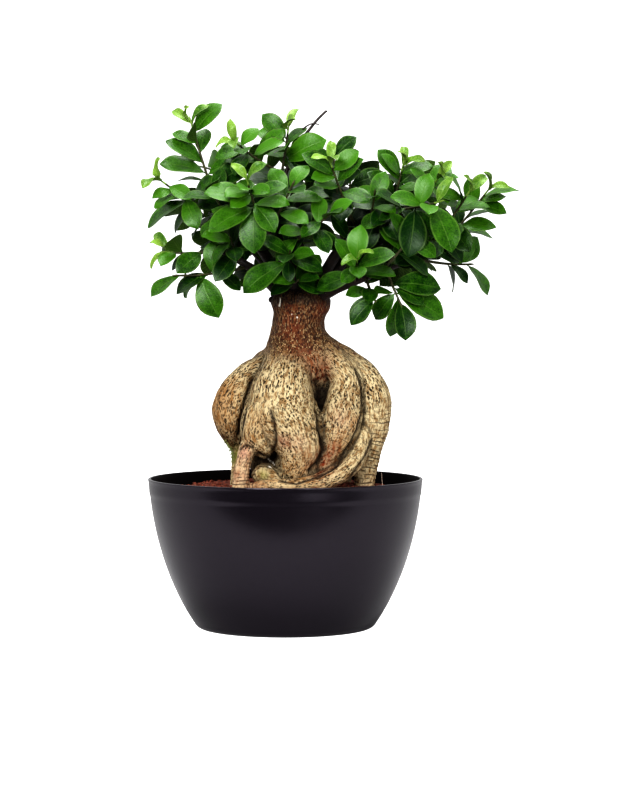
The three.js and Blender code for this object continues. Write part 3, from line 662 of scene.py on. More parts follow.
@dataclass(frozen=True)
class BarkFinish:
    """The bark of roots and trunk: cream and tan with dark dashes along the root, red-brown on the neck."""

    cream: Colour = (0.70, 0.575, 0.345)
    tan: Colour = (0.30, 0.185, 0.078)
    ochre: Colour = (0.36, 0.17, 0.05)
    brown: Colour = (0.10, 0.045, 0.016)
    rust: Colour = (0.20, 0.040, 0.012)
    # The dark marks' colour, also laid on as painted shade in the creases, furrows and hollows and under the limbs.
    mark: Colour = (0.013, 0.0065, 0.003)
    neck: Colour = (0.034, 0.0115, 0.0045)
    neck_light: Colour = (0.25, 0.115, 0.045)
    neck_fleck: Colour = (0.50, 0.35, 0.18)
    moss: Colour = (0.28, 0.31, 0.045)
    pink: Colour = (0.52, 0.27, 0.19)
    resin: Colour = (0.85, 0.80, 0.70)

    def tone(self, graph: Graph, effects: Effects) -> tuple[Socket, Socket]:
        """The bark's colour before its marks, and the streaks along the root that it is mixed by."""
        place = graph.place()
        grain = graph.paint("grain", "Vector")
        cloud = effects.tone(graph, place, scale=46.0, contrast=2.2)
        streaks = effects.tone(graph, graph.stretched(grain, (1.0, 1.0, 0.34)), scale=430.0, contrast=3.4)
        colour = graph.mix(graph.spread(streaks, 0.0, 0.8), self.tan, self.cream)
        warm = graph.plus(graph.paint("warm"), graph.spread(cloud, 0.55, 1.0, 0.0, 0.45))
        colour = graph.mix(graph.spread(warm, 0.0, 1.3, 0.0, 0.9), colour, self.ochre)
        brown = graph.times(graph.paint("brown"), graph.spread(streaks, 1.0, 0.0, 0.45, 1.0))
        rust = graph.times(graph.paint("rust"), graph.spread(streaks, 1.0, 0.0, 0.5, 1.0))
        for share, over in ((brown, self.brown), (graph.paint("pink"), self.pink), (rust, self.rust)):
            colour = graph.mix(share, colour, over)
        return colour, streaks

    def marks(self, graph: Graph, effects: Effects) -> Socket:
        """The dark marks: dashes along the root, dots, and cracks across it where it is ringed."""
        grain = graph.paint("grain", "Vector")
        dashes = effects.specks(graph, graph.stretched(grain, (1.0, 1.0, 0.55)), scale=620.0, width=0.34, share=0.95)
        fine = effects.specks(graph, graph.stretched(grain, (1.0, 1.0, 0.4)), scale=980.0, width=0.38, share=0.95)
        ringed = graph.paint("rings")
        width = graph.spread(ringed, 0.6, 1.0, 0.12, 0.25)
        rings = graph.use(effects.rings, {"Grain": grain, "Step": 0.0029, "Width": width}).outputs[0]
        cracks = graph.times(graph.times(rings, ringed), 0.85)
        dense = graph.spread(graph.noise(graph.place(), 55.0, 2.0), 0.3, 0.6, 0.6, 1.0)
        small = graph.times(graph.math("MAXIMUM", dashes, fine), dense)
        small = graph.times(small, graph.spread(ringed, 0.2, 0.9, 1.0, 0.5))
        return graph.math("MAXIMUM", small, cracks)

    def neck_tone(self, graph: Graph, effects: Effects) -> Socket:
        """The neck's colour: dark brown with rusty streaks and pale flecks drawn out upwards."""
        grain = graph.paint("grain", "Vector")
        fine = effects.tone(graph, graph.stretched(grain, (1.0, 1.0, 0.2)), scale=1000.0, contrast=4.4)
        cloud = graph.noise(graph.place(), 75.0, 2.0)
        colour = graph.mix(graph.spread(fine, 0.2, 1.0, 0.0, 0.74), self.neck, self.neck_light)
        colour = graph.mix(graph.spread(cloud, 0.52, 0.72, 0.0, 0.25), colour, self.rust)
        colour = graph.mix(graph.times(graph.paint("rust"), 0.8), colour, self.rust)
        pale = effects.specks(graph, graph.stretched(grain, (1.0, 1.0, 0.5)), scale=900.0, width=0.42, share=0.7)
        dark = effects.specks(graph, graph.stretched(grain, (1.0, 1.0, 0.5)), scale=760.0, width=0.42, share=0.75)
        colour = graph.mix(graph.times(dark, 0.85), colour, self.mark)
        return graph.mix(graph.times(pale, graph.paint("pale")), colour, self.neck_fleck)

    def material(self, effects: Effects) -> Material:
        """The material."""
        material, graph, shader = start_material("ficus bark")
        colour, streaks = self.tone(graph, effects)
        marks = self.marks(graph, effects)
        colour = graph.mix(graph.times(marks, 0.95), colour, self.mark)
        swing = graph.times(graph.minus(streaks, 0.5), 0.75)
        mixing = graph.plus(graph.paint("neck"), swing)
        colour = graph.mix(graph.spread(mixing, 0.2, 0.8), colour, self.neck_tone(graph, effects))
        # Painted shade in the creases, furrows and hollows and on the collar under the limbs, in the marks' colour.
        colour = graph.mix(graph.times(graph.paint("crease_shade"), 0.95), colour, self.mark)
        moss = graph.times(graph.paint("moss"), graph.spread(streaks, 0.1, 0.6, 0.3, 1.0))
        colour = graph.mix(moss, colour, self.moss)
        colour = graph.mix(graph.spread(graph.paint("resin"), 0.35, 0.75), colour, self.resin)
        graph.feed(shader["Base Color"], colour)
        height = graph.minus(graph.times(streaks, 0.7), graph.times(marks, 0.9))
        height = graph.plus(height, graph.times(graph.noise(graph.place(), 420.0, 3.0), 0.7))
        graph.feed(shader["Normal"], graph.bump(height, 0.7, 0.0011))
        graph.feed(shader["Roughness"], graph.spread(streaks, 0.0, 1.0, 0.78, 0.5))
        graph.feed(shader["Specular IOR Level"], 0.25)
        return material


@dataclass(frozen=True)
class TwigFinish:
    """The bark of limbs and stems, with fine lengthwise streaks and pale dots."""

    name: str = "limb bark"
    dark: Colour = (0.006, 0.004, 0.004)
    light: Colour = (0.038, 0.020, 0.016)
    dot: Colour = (0.10, 0.065, 0.05)

    def material(self, effects: Effects) -> Material:
        """The material."""
        material, graph, shader = start_material(self.name)
        place = graph.place()
        tone = effects.tone(graph, place, scale=260.0, contrast=2.2)
        dots = effects.specks(graph, place, scale=420.0, width=0.2, share=0.4)
        graph.feed(shader["Base Color"], graph.mix(dots, graph.mix(tone, self.dark, self.light), self.dot))
        graph.feed(shader["Normal"], graph.bump(graph.plus(tone, dots), 0.6, 0.0006))
        graph.feed(shader["Roughness"], 0.6)
        return material


@dataclass(frozen=True)
class LeafFinish:
    """A waxy leaf, paler along its midrib and margin and grey-green beneath."""

    name: str = "ficus leaf"
    deep: Colour = (0.0008, 0.021, 0.0002)
    fresh: Colour = (0.052, 0.168, 0.005)
    under: Colour = (0.042, 0.095, 0.010)
    rib: Colour = (0.20, 0.33, 0.07)
    edge: Colour = (0.003, 0.013, 0.002)
    roughness: float = 0.31
    specular: float = 0.36
    sheen: Colour = (0.82, 1.0, 0.76)

    def material(self, effects: Effects) -> Material:
        """The material."""
        material, graph, shader = start_material(self.name)
        blade = graph.add("ShaderNodeUVMap", uv_map="blade").outputs[0]
        veins = graph.use(effects.veins, {"Blade": blade}).outputs
        place = graph.place()
        tone = effects.tone(graph, place, scale=140.0, contrast=2.0)
        share = graph.plus(graph.paint("tint"), graph.times(graph.minus(tone, 0.5), 0.5))
        grain = graph.minus(graph.noise(place, 900.0, 2.0), 0.5)
        share = graph.plus(share, graph.times(grain, 1.0))
        upper = graph.mix(graph.spread(share, 0.0, 1.0), self.deep, self.fresh)
        upper = graph.mix(graph.times(veins["Veins"], 0.025), upper, self.rib)
        lower = graph.mix(graph.times(veins["Veins"], 0.3), self.under, self.rib)
        colour = graph.mix(graph.paint("under"), upper, lower)
        lines = graph.math("MAXIMUM", graph.times(veins["Midrib"], 0.8), veins["Margin"])
        colour = graph.mix(graph.times(lines, 0.24), colour, self.rib)
        colour = graph.mix(graph.times(veins["Edge"], 0.85), colour, self.edge)
        graph.feed(shader["Base Color"], colour)
        height = graph.minus(tone, graph.times(veins["Veins"], 0.5))
        height = graph.minus(height, graph.times(veins["Midrib"], 2.0))
        height = graph.plus(height, graph.times(grain, 1.5))
        graph.feed(shader["Normal"], graph.bump(height, 0.22, 0.0003))
        rough = graph.plus(self.roughness, graph.times(graph.paint("under"), 0.25))
        graph.feed(shader["Roughness"], graph.plus(rough, graph.times(tone, 0.1)))
        graph.feed(shader["Specular IOR Level"], self.specular)
        graph.feed(shader["Specular Tint"], self.sheen)
        return material


@dataclass(frozen=True)
class FloorFinish:
    """A plain white studio floor."""

    colour: Colour = (0.55, 0.55, 0.55)
    glow: float = 0.95

    def material(self) -> Material:
        """The material. It glows for the camera alone, so that it looks white without lighting the object."""
        material, graph, shader = start_material("studio floor")
        graph.feed(shader["Base Color"], self.colour)
        graph.feed(shader["Roughness"], 0.9)
        graph.feed(shader["Specular IOR Level"], 0.1)
        graph.feed(shader["Emission Color"], WHITE)
        seen = graph.add("ShaderNodeLightPath").outputs["Is Camera Ray"]
        graph.feed(shader["Emission Strength"], graph.times(seen, self.glow))
        return material


# The bowl and its soil


@dataclass
class Bowl:
    """The round bowl, turned about the Z axis."""

    rim_radius: float = 110.0
    height: float = 120.0
    bulge_level: float = 138.0
    bulge_rise: float = 178.0
    base_radius: float = 65.0
    corner: float = 5.0
    wall: float = 2.8
    lip: float = 0.25
    lip_depth: float = 3.0
    lip_steps: tuple[Span, ...] = ((0.1, 1.2), (0.05, 0.5), (0.5, 0.03), (2.2, 0.05), (2.8, 1.2))
    band: float = 12.5
    recess: float = 0.3
    recessed: Span = (6.0, 40.0)
    lean: float = 0.075
    innermost: float = 2.0
    sides: int = 192

    def outer_radius(self, level: Array | float) -> Array:
        """The wall's radius at a level: part of an ellipse that is widest above the rim."""
        swell = np.sqrt(1 - ((self.bulge_level - level) / self.bulge_rise) ** 2)
        at_rim = math.sqrt(1 - ((self.bulge_level - self.height) / self.bulge_rise) ** 2)
        return (self.rim_radius - self.lip) * swell / at_rim

    def profile(self) -> tuple[Array, Array]:
        """Radii and levels from the underside's middle, up the outside, over the lip and down to the floor inside.

        A band under the lip stands a little proud of the wall below it. The lip's steps go inwards from the rim's
        radius and down from its height.
        """
        foot = bezier(
            np.array([self.base_radius, 0.0]),
            np.array([self.base_radius + 6.0, 0.2]),
            np.array([float(self.outer_radius(self.corner)), self.corner]),
            np.linspace(0, 1, 8),
        )
        up = np.linspace(self.corner, self.height - self.lip_depth, 64)[1:]
        below = self.outer_radius(up) - self.recess * smooth_step(up, *self.recessed)
        banded = self.outer_radius(self.height) - self.lean * (self.height - up)
        share = smooth_step(self.height - up, self.band + 1.0, self.band - 1.0)
        outside = np.stack([below + (banded - below) * share, up], -1)
        over = np.array([self.rim_radius, self.height]) - np.array(self.lip_steps)
        end = np.array([[float(self.outer_radius(self.height - self.lip_depth)) - self.wall, self.height - 3.6]])
        lip = spline(np.concatenate([outside[-1:], over, end]), np.linspace(0, 1, 26))[1:]
        down = np.linspace(self.height - 1.5 * self.lip_depth, self.wall + self.corner, 30)
        inside = np.stack([self.outer_radius(down) - self.wall, down], -1)
        floor = np.array([[self.base_radius, self.wall], [30.0, self.wall], [self.innermost, self.wall]])
        start = np.array([[self.innermost, 0.0], [40.0, 0.0], [self.base_radius - 1.0, 0.0]])
        rows = np.concatenate([start, foot, outside, lip, inside, floor])
        return rows[:, 0], rows[:, 1]

    def build(self, outside: BowlFinish, inside: BowlFinish, effects: Effects) -> None:
        """Makes the bowl and dresses it, from past the lip's top in the finish of the inside, which is darker: painted
        shade inside the bowl, with soil stains.
        """
        radii, levels = self.profile()
        mesh = lathe(radii, levels, self.sides).mesh("bowl_shell")
        past_lip = np.arange(len(radii) - 1) > levels.argmax() + 1
        finish = np.repeat(np.concatenate([past_lip, [False, True]]), self.sides)
        mesh.polygons.foreach_set("material_index", finish.astype(np.int32))
        add_piece(mesh, Slot.BOWL, [outside.material(effects), inside.material(effects)], "bowl")


@dataclass
class Soil:
    """The bed of soil in the bowl, with loose crumbs on it."""

    bowl: Bowl
    edge_level: float = 109.5
    crown_level: float = 115.0
    crown_radius: float = 64.0
    gap: float = 0.35
    bumps: tuple[Lumps, ...] = (Lumps(0.9, 7.0, 7), Lumps(0.7, 2.6, 8))
    bump_sink: float = 0.6
    sides: int = 180
    crumbs: int = 520
    crumb_size: Span = (0.5, 1.7)
    crumb_stretch: Span = (0.6, 1.2)
    crumb_rough: Span = (0.75, 1.25)
    crumb_reach: float = 104.0
    crumb_edge: float = 107.0
    crumb_sink: float = 0.2
    seed: int = 7

    def bed(self) -> Shell:
        """The bed: a turned solid whose top rises from the bowl's wall to a flat crown, uneven by noise."""
        bottom = np.array([[2.0, self.bowl.wall + self.gap], [self.bowl.base_radius - 1.0, self.bowl.wall + self.gap]])
        up = np.linspace(self.bowl.wall + self.bowl.corner, self.edge_level, 12)
        wall = np.stack([self.bowl.outer_radius(up) - self.bowl.wall - 2 * self.gap, up], -1)
        across = np.linspace(float(wall[-1, 0]) - 1.0, 2.0, 64)
        rise = smooth_step(-across, -float(wall[-1, 0]), -self.crown_radius)
        top = np.stack([across, self.edge_level + (self.crown_level - self.edge_level) * rise], -1)
        rows = np.concatenate([bottom, wall, top])
        shell = lathe(rows[:, 0], rows[:, 1], self.sides)
        on_top = shell.points[:, 2] >= self.edge_level - 0.01
        bumps = sum(bump.over(shell.points) for bump in self.bumps)
        shell.points[:, 2] += np.where(on_top, bumps - self.bump_sink, 0.0)
        return shell

    def loose_crumbs(self) -> Shell:
        """Crumbs: 20-sided lumps, each stretched, turned and set down at random on the bed."""
        golden = (1 + math.sqrt(5)) / 2
        pairs = [(-1, golden), (1, golden), (-1, -golden), (1, -golden)]
        corners = [(a, b, 0) for a, b in pairs] + [(0, a, b) for a, b in pairs] + [(b, 0, a) for a, b in pairs]
        lump = unit(np.array(corners, float))
        faces = np.array([
            (0, 11, 5), (0, 5, 1), (0, 1, 7), (0, 7, 10), (0, 10, 11), (1, 5, 9), (5, 11, 4), (11, 10, 2), (10, 7, 6),
            (7, 1, 8), (3, 9, 4), (3, 4, 2), (3, 2, 6), (3, 6, 8), (3, 8, 9), (4, 9, 5), (2, 4, 11), (6, 2, 10),
            (8, 6, 7), (9, 8, 1),
        ])
        chance = np.random.default_rng(self.seed)
        angle = chance.uniform(0, 2 * math.pi, self.crumbs)
        reach = self.crumb_reach * np.sqrt(chance.uniform(0.0, 1.0, self.crumbs))
        size = chance.uniform(*self.crumb_size, (self.crumbs, 1, 1))
        size = size * chance.uniform(*self.crumb_stretch, (self.crumbs, 1, 3))
        rise = smooth_step(-reach, -self.crumb_edge, -self.crown_radius)
        level = self.edge_level + (self.crown_level - self.edge_level) * rise
        middle = np.stack([reach * np.cos(angle), reach * np.sin(angle), level - self.crumb_sink], -1)
        ragged = lump[None] * size * chance.uniform(*self.crumb_rough, (self.crumbs, len(lump), 1))
        points = (middle[:, None] + ragged).reshape(-1, 3)
        triangles = (faces[None] + len(lump) * np.arange(self.crumbs)[:, None, None]).reshape(-1, 3)
        return Shell(points, np.empty((0, 4), int), triangles)

    def build(self, finish: SoilFinish, effects: Effects) -> None:
        """Makes the bed with its crumbs and dresses it."""
        mesh = join_shells("soil_bed", [self.bed(), self.loose_crumbs()])
        add_piece(mesh, Slot.SOIL, [finish.material(effects)], "soil")


# The tree

# Each root's centre line from the neck downwards, as (x, y, z, radius).
ROOTS: dict[str, list[tuple[float, float, float, float]]] = {
    "neck": [(12, 0, 273, 11), (12, 0, 269, 21), (12, 0, 262, 24), (11, 0, 254, 22), (10, 0, 246, 20.8),
     (10, 0, 238, 21.8), (10.5, 0, 229, 26), (12, 2, 217, 30), (15, 7, 203, 27), (18, 9, 188, 23),
     (17, 9, 168, 21), (9, 7, 150, 20), (-7, 4, 134, 21), (-13, 2, 120, 17)],
    "left": [(-2, 2, 215, 12), (-15, 0, 209.5, 10.5), (-27, -1, 203, 11.5), (-38, -2, 189, 15),
     (-42, -2, 175, 16.8), (-42, -1, 163, 14.5), (-40.5, 1, 153, 10), (-37.5, 4, 144, 6),
     (-35, 6, 137, 2.5)],
    "front": [(6, -4, 234, 13), (2, -11, 220, 16.5), (-1, -18, 203, 22), (-2.5, -23, 186, 25.5),
     (-1, -25, 173, 27.5), (6, -27, 161, 24.5), (11, -28, 149, 20.5), (11.5, -28, 137, 17),
     (8, -27, 126, 12), (5, -26, 118, 5)],
    "front_lobe": [(-6, -18, 188, 13), (-15.5, -26, 172, 17.5), (-20.5, -28, 160, 15.3), (-19.5, -28, 150, 12),
     (-16.5, -27, 142, 7.5), (-15, -27, 137, 2.5)],
    "front_leg": [(-24, -28, 156, 6), (-28.5, -31, 147, 7), (-32, -34, 138, 6.3), (-34.5, -35, 126, 6.2),
     (-35.5, -36, 113, 6.8), (-36, -36, 98, 4.5)],
    "right_front": [(28, -8, 223, 12), (40, -12, 212, 11.5), (48.5, -16, 199, 12.8), (47.5, -18, 185, 15),
     (45.5, -20, 172, 16.5), (43.5, -22, 160, 15.2), (39.5, -25, 149, 12.5), (34, -27, 139.5, 9),
     (28, -29, 131, 5.5), (22.5, -30, 125, 2)],
    "right": [(20, 0, 228, 14), (36, -1, 219, 13), (50.5, -2, 210.5, 13), (62.5, -3, 199.5, 14),
     (69, -4, 186, 14.8), (70, -4, 172, 14.6), (69, -4, 159, 13.6), (66.5, -4, 147, 12),
     (64.5, -5, 133, 10), (63.5, -6, 120, 8.6), (63, -6, 100, 6)],
    "creeping": [(61, -8, 166, 6), (61, -18, 150, 7.4), (54, -27, 135, 8.2), (39, -35, 124, 8.2),
     (20, -39, 118, 7), (0, -41, 116.5, 5.4), (-18, -38, 116.5, 4.4), (-28, -31, 113, 3.6),
     (-32, -24, 104, 2.2)],
    "nub": [(-26, -20, 121, 4), (-17, -22, 125, 8.5), (-6, -24, 122, 6.5), (6, -26, 124, 7)],
    "left_leg": [(-36, 4, 150, 7), (-38, 1, 138, 5.6), (-38.5, -2, 126, 5.4), (-39, -4, 113, 5.6),
     (-39, -4, 98, 4)],
    "back_left": [(-2, 8, 218, 13), (-15, 18, 206, 16), (-25, 26, 190, 18.5), (-27, 30, 172, 18.5),
     (-24, 31, 154, 15), (-20, 30, 138, 10), (-18, 29, 122, 7.5), (-17, 28, 100, 5)],
    "back_right": [(22, 10, 220, 13), (36, 20, 207, 15.5), (45, 28, 190, 17.5), (45, 31, 172, 17),
     (43, 32, 154, 14), (43, 31, 138, 12), (44, 30, 122, 10), (44, 29, 100, 7)],
    "back": [(10, 12, 216, 13), (11, 28, 198, 15.5), (10, 36, 180, 16.5), (9, 38, 160, 15), (8, 38, 142, 11),
     (8, 37, 128, 7.5), (8, 36, 119, 3)],
}


@dataclass(frozen=True)
class Limb:
    """A bent limb from the neck's top, through its bend, to its end, with its radii at both ends."""

    start: Place
    bend: Place
    end: Place
    thick: float
    thin: float

    def points(self, shares: Array) -> Array:
        """Points of its line at shares of the way."""
        return bezier(np.array(self.start, float), np.array(self.bend, float), np.array(self.end, float), shares)


LIMBS: dict[str, Limb] = {
    "left_low": Limb((0, -6, 264), (-22, -20, 288), (-52, -22, 302), 5, 2),
    "left_high": Limb((2, 0, 266), (-18, -4, 312), (-56, -8, 332), 5.5, 2),
    "front": Limb((10, -9, 265), (2, -34, 292), (-20, -46, 326), 4.5, 2),
    "centre": Limb((13, 3, 267), (4, 0, 318), (-8, -8, 366), 5, 2),
    "bare_twig": Limb((-3, -5, 347), (2, -4, 386), (33, -4, 413), 1.8, 0.9),
    "right_front": Limb((24, -7, 264), (50, -30, 276), (82, -38, 288), 5, 2),
    "right_high": Limb((22, 0, 266), (44, -8, 310), (72, -20, 334), 5.5, 2),
    "right_far": Limb((26, 4, 265), (64, 6, 286), (118, -4, 300), 5.5, 2.2),
    "right_top": Limb((24, 5, 266), (66, 0, 322), (104, -14, 336), 5, 2),
    "back_left": Limb((4, 9, 265), (-16, 36, 296), (-48, 44, 322), 5, 2),
    "back_centre": Limb((12, 11, 266), (14, 34, 306), (10, 44, 342), 4.5, 2),
    "back_right": Limb((22, 10, 265), (54, 36, 292), (88, 42, 318), 5, 2),
}


@dataclass(frozen=True)
class Patch:
    """A round patch on the bark: a bell-shaped weight round a point."""

    middle: Place
    reach: float
    weight: float

    def over(self, points: Array) -> Array:
        """Its weight at each point, weight exp(-(distance / reach)²)."""
        apart = np.linalg.norm(points - np.array(self.middle), axis=1)
        return self.weight * np.exp(-((apart / self.reach) ** 2))


def patches(*rows: tuple[float, float, float, float, float]) -> tuple[Patch, ...]:
    """Patches from rows of (x, y, z, reach, weight)."""
    return tuple(Patch((x, y, z), reach, weight) for x, y, z, reach, weight in rows)


# What the bark's round patches do: rings, rust, warm, brown, moss and pink are paints, shade is painted shade in the
# hollows, swell is a height.
PATCHES: dict[str, tuple[Patch, ...]] = {
    "rings": patches(
        (-35, -35, 120, 22, 1), (-39, -4, 120, 22, 0.9), (64, -8, 118, 17, 1), (68, -8, 138, 20, 0.85),
        (14, -48, 172, 18, 0.3), (76, -8, 168, 20, 0.9), (48, -34, 150, 18, 0.7), (16, -48, 148, 13, 0.5),
        (30, -40, 123, 22, 0.4), (37, 30, 120, 24, 0.8), (-18, 30, 120, 24, 0.8),
    ),
    "rust": patches(
        (26, -16, 203, 10, 1), (20, -22, 214, 10, 0.75), (34, -14, 210, 9, 0.7), (8, -26, 222, 9, 0.5),
        (33, -38, 138, 10, 1), (40, -38, 148, 6, 0.6), (26, -42, 130, 9, 1), (5, -26, 240, 8, 0.9),
        (2, -24, 252, 7, 0.5), (30, -14, 256, 9, 0.8), (-4, -48, 150, 6, 0.5), (40, 44, 170, 16, 0.4),
    ),
    "warm": patches(
        (-52, -10, 190, 20, 0.75), (-50, -8, 166, 20, 0.7), (-22, -44, 168, 14, 0.6), (-30, -42, 150, 9, 0.5),
        (42, -36, 150, 12, 0.6), (54, -34, 165, 8, 0.5), (4, -46, 130, 13, 0.5), (-18, -38, 120, 12, 0.7),
        (20, -44, 118, 20, 0.4), (-30, 44, 180, 22, 0.5), (20, 52, 170, 20, 0.45),
    ),
    "brown": patches(
        (-44, -8, 150, 14, 0.95), (44, -36, 182, 17, 0.3), (70, -8, 146, 14, 0.1), (46, -34, 132, 14, 0.12),
        (-14, 0, 130, 14, 1), (46, -20, 122, 7, 0.7), (0, 0, 214, 30, 0.42), (2, -24, 212, 20, 0.3),
        (-50, -12, 186, 22, 0.12),
    ),
    "shade": patches(
        (-14, -10, 138, 12, 1), (-20, 0, 128, 9, 0.8), (29, -12, 186, 9, 1), (29, 2, 186, 9, 1),
        (28, -12, 176, 5, 0.9), (28, 8, 190, 15, 1), (27, 0, 172, 11, 1), (-16, 8, 134, 14, 1),
        (-12, -26, 136, 8, 0.9),
    ),
    "swell": patches((37, -4, 256, 6, 1.8), (32, -6, 244, 6, -1.3), (-13, -4, 259, 5, 1), (-4, -40, 130, 8, 2)),
    "moss": patches((-40, -8, 138, 6.5, 1), (-18, -32, 124, 5, 0.5)),
    "pink": patches(
        (-33, -40, 143, 7, 0.75), (-35, -36, 124, 12, 0.5), (62, -8, 114, 6, 0.35), (-2, -48, 152, 6, 0.45),
        (12, -50, 150, 9, 0.3), (42, -40, 168, 10, 0.3), (-20, -36, 112, 8, 0.4),
    ),
}


@dataclass(frozen=True)
class Stroke:
    """A stroke on the front of the bark, such as a crease: its line in X and Z, its half width and its depth."""

    line: tuple[tuple[float, float], ...]
    half_width: float
    depth: float

    def over(self, points: Array) -> Array:
        """Its bell-shaped weight exp(-(distance / half width)²) at each point, by the nearest spot of the line."""
        flat = points[:, [0, 2]]
        nearest = np.full(len(points), np.inf)
        for a, b in zip(np.array(self.line[:-1]), np.array(self.line[1:])):
            share = np.clip((flat - a) @ (b - a) / ((b - a) @ (b - a)), 0.0, 1.0)
            nearest = np.minimum(nearest, np.linalg.norm(flat - a - share[:, None] * (b - a), axis=1))
        return np.exp(-((nearest / self.half_width) ** 2))


@dataclass
class Root:
    """A swollen root: a tube along a smooth line through given points."""

    knots: Array
    rings: int = 120
    sides: int = 48
    flutes: tuple[Span, ...] = ((0.035, 1.0), (0.02, 2.3))
    flute_round: float = 1.6
    flute_length: float = 26.0
    flute_start: float = 40.0
    full_radius: float = 6.0

    def line(self, count: int) -> tuple[Array, Array]:
        """Points of its centre line and its radii there."""
        both = spline(self.knots, np.linspace(0, 1, count))
        return both[:, :3], both[:, 3]

    def shell(self, seed: int) -> Shell:
        """The tube, its radius swelled and fluted by noise that is drawn out along the root, less where it is thin.

        Each of the flutes is a depth, as a share of the radius, and a fineness.

        Args:
            seed: The number that the noise grows from.

        Returns:
            The surface.
        """
        centres, radii = self.line(self.rings)
        along = lengths_along(centres)
        angle = circle(self.sides)
        round_it = self.flute_round * np.stack([np.cos(angle), np.sin(angle)])[:, None]
        place = np.stack(np.broadcast_arrays(*round_it, along[:, None] / self.flute_length + self.flute_start), -1)
        flutes = enumerate(self.flutes)
        swell = sum(depth * lattice_noise(place * fine, 1.0, seed + 50 * i) for i, (depth, fine) in flutes)
        fade = np.clip(radii / self.full_radius, 0.0, 1.0)
        return tube(centres, radii[:, None] * (1.0 + swell * fade[:, None]), self.sides)


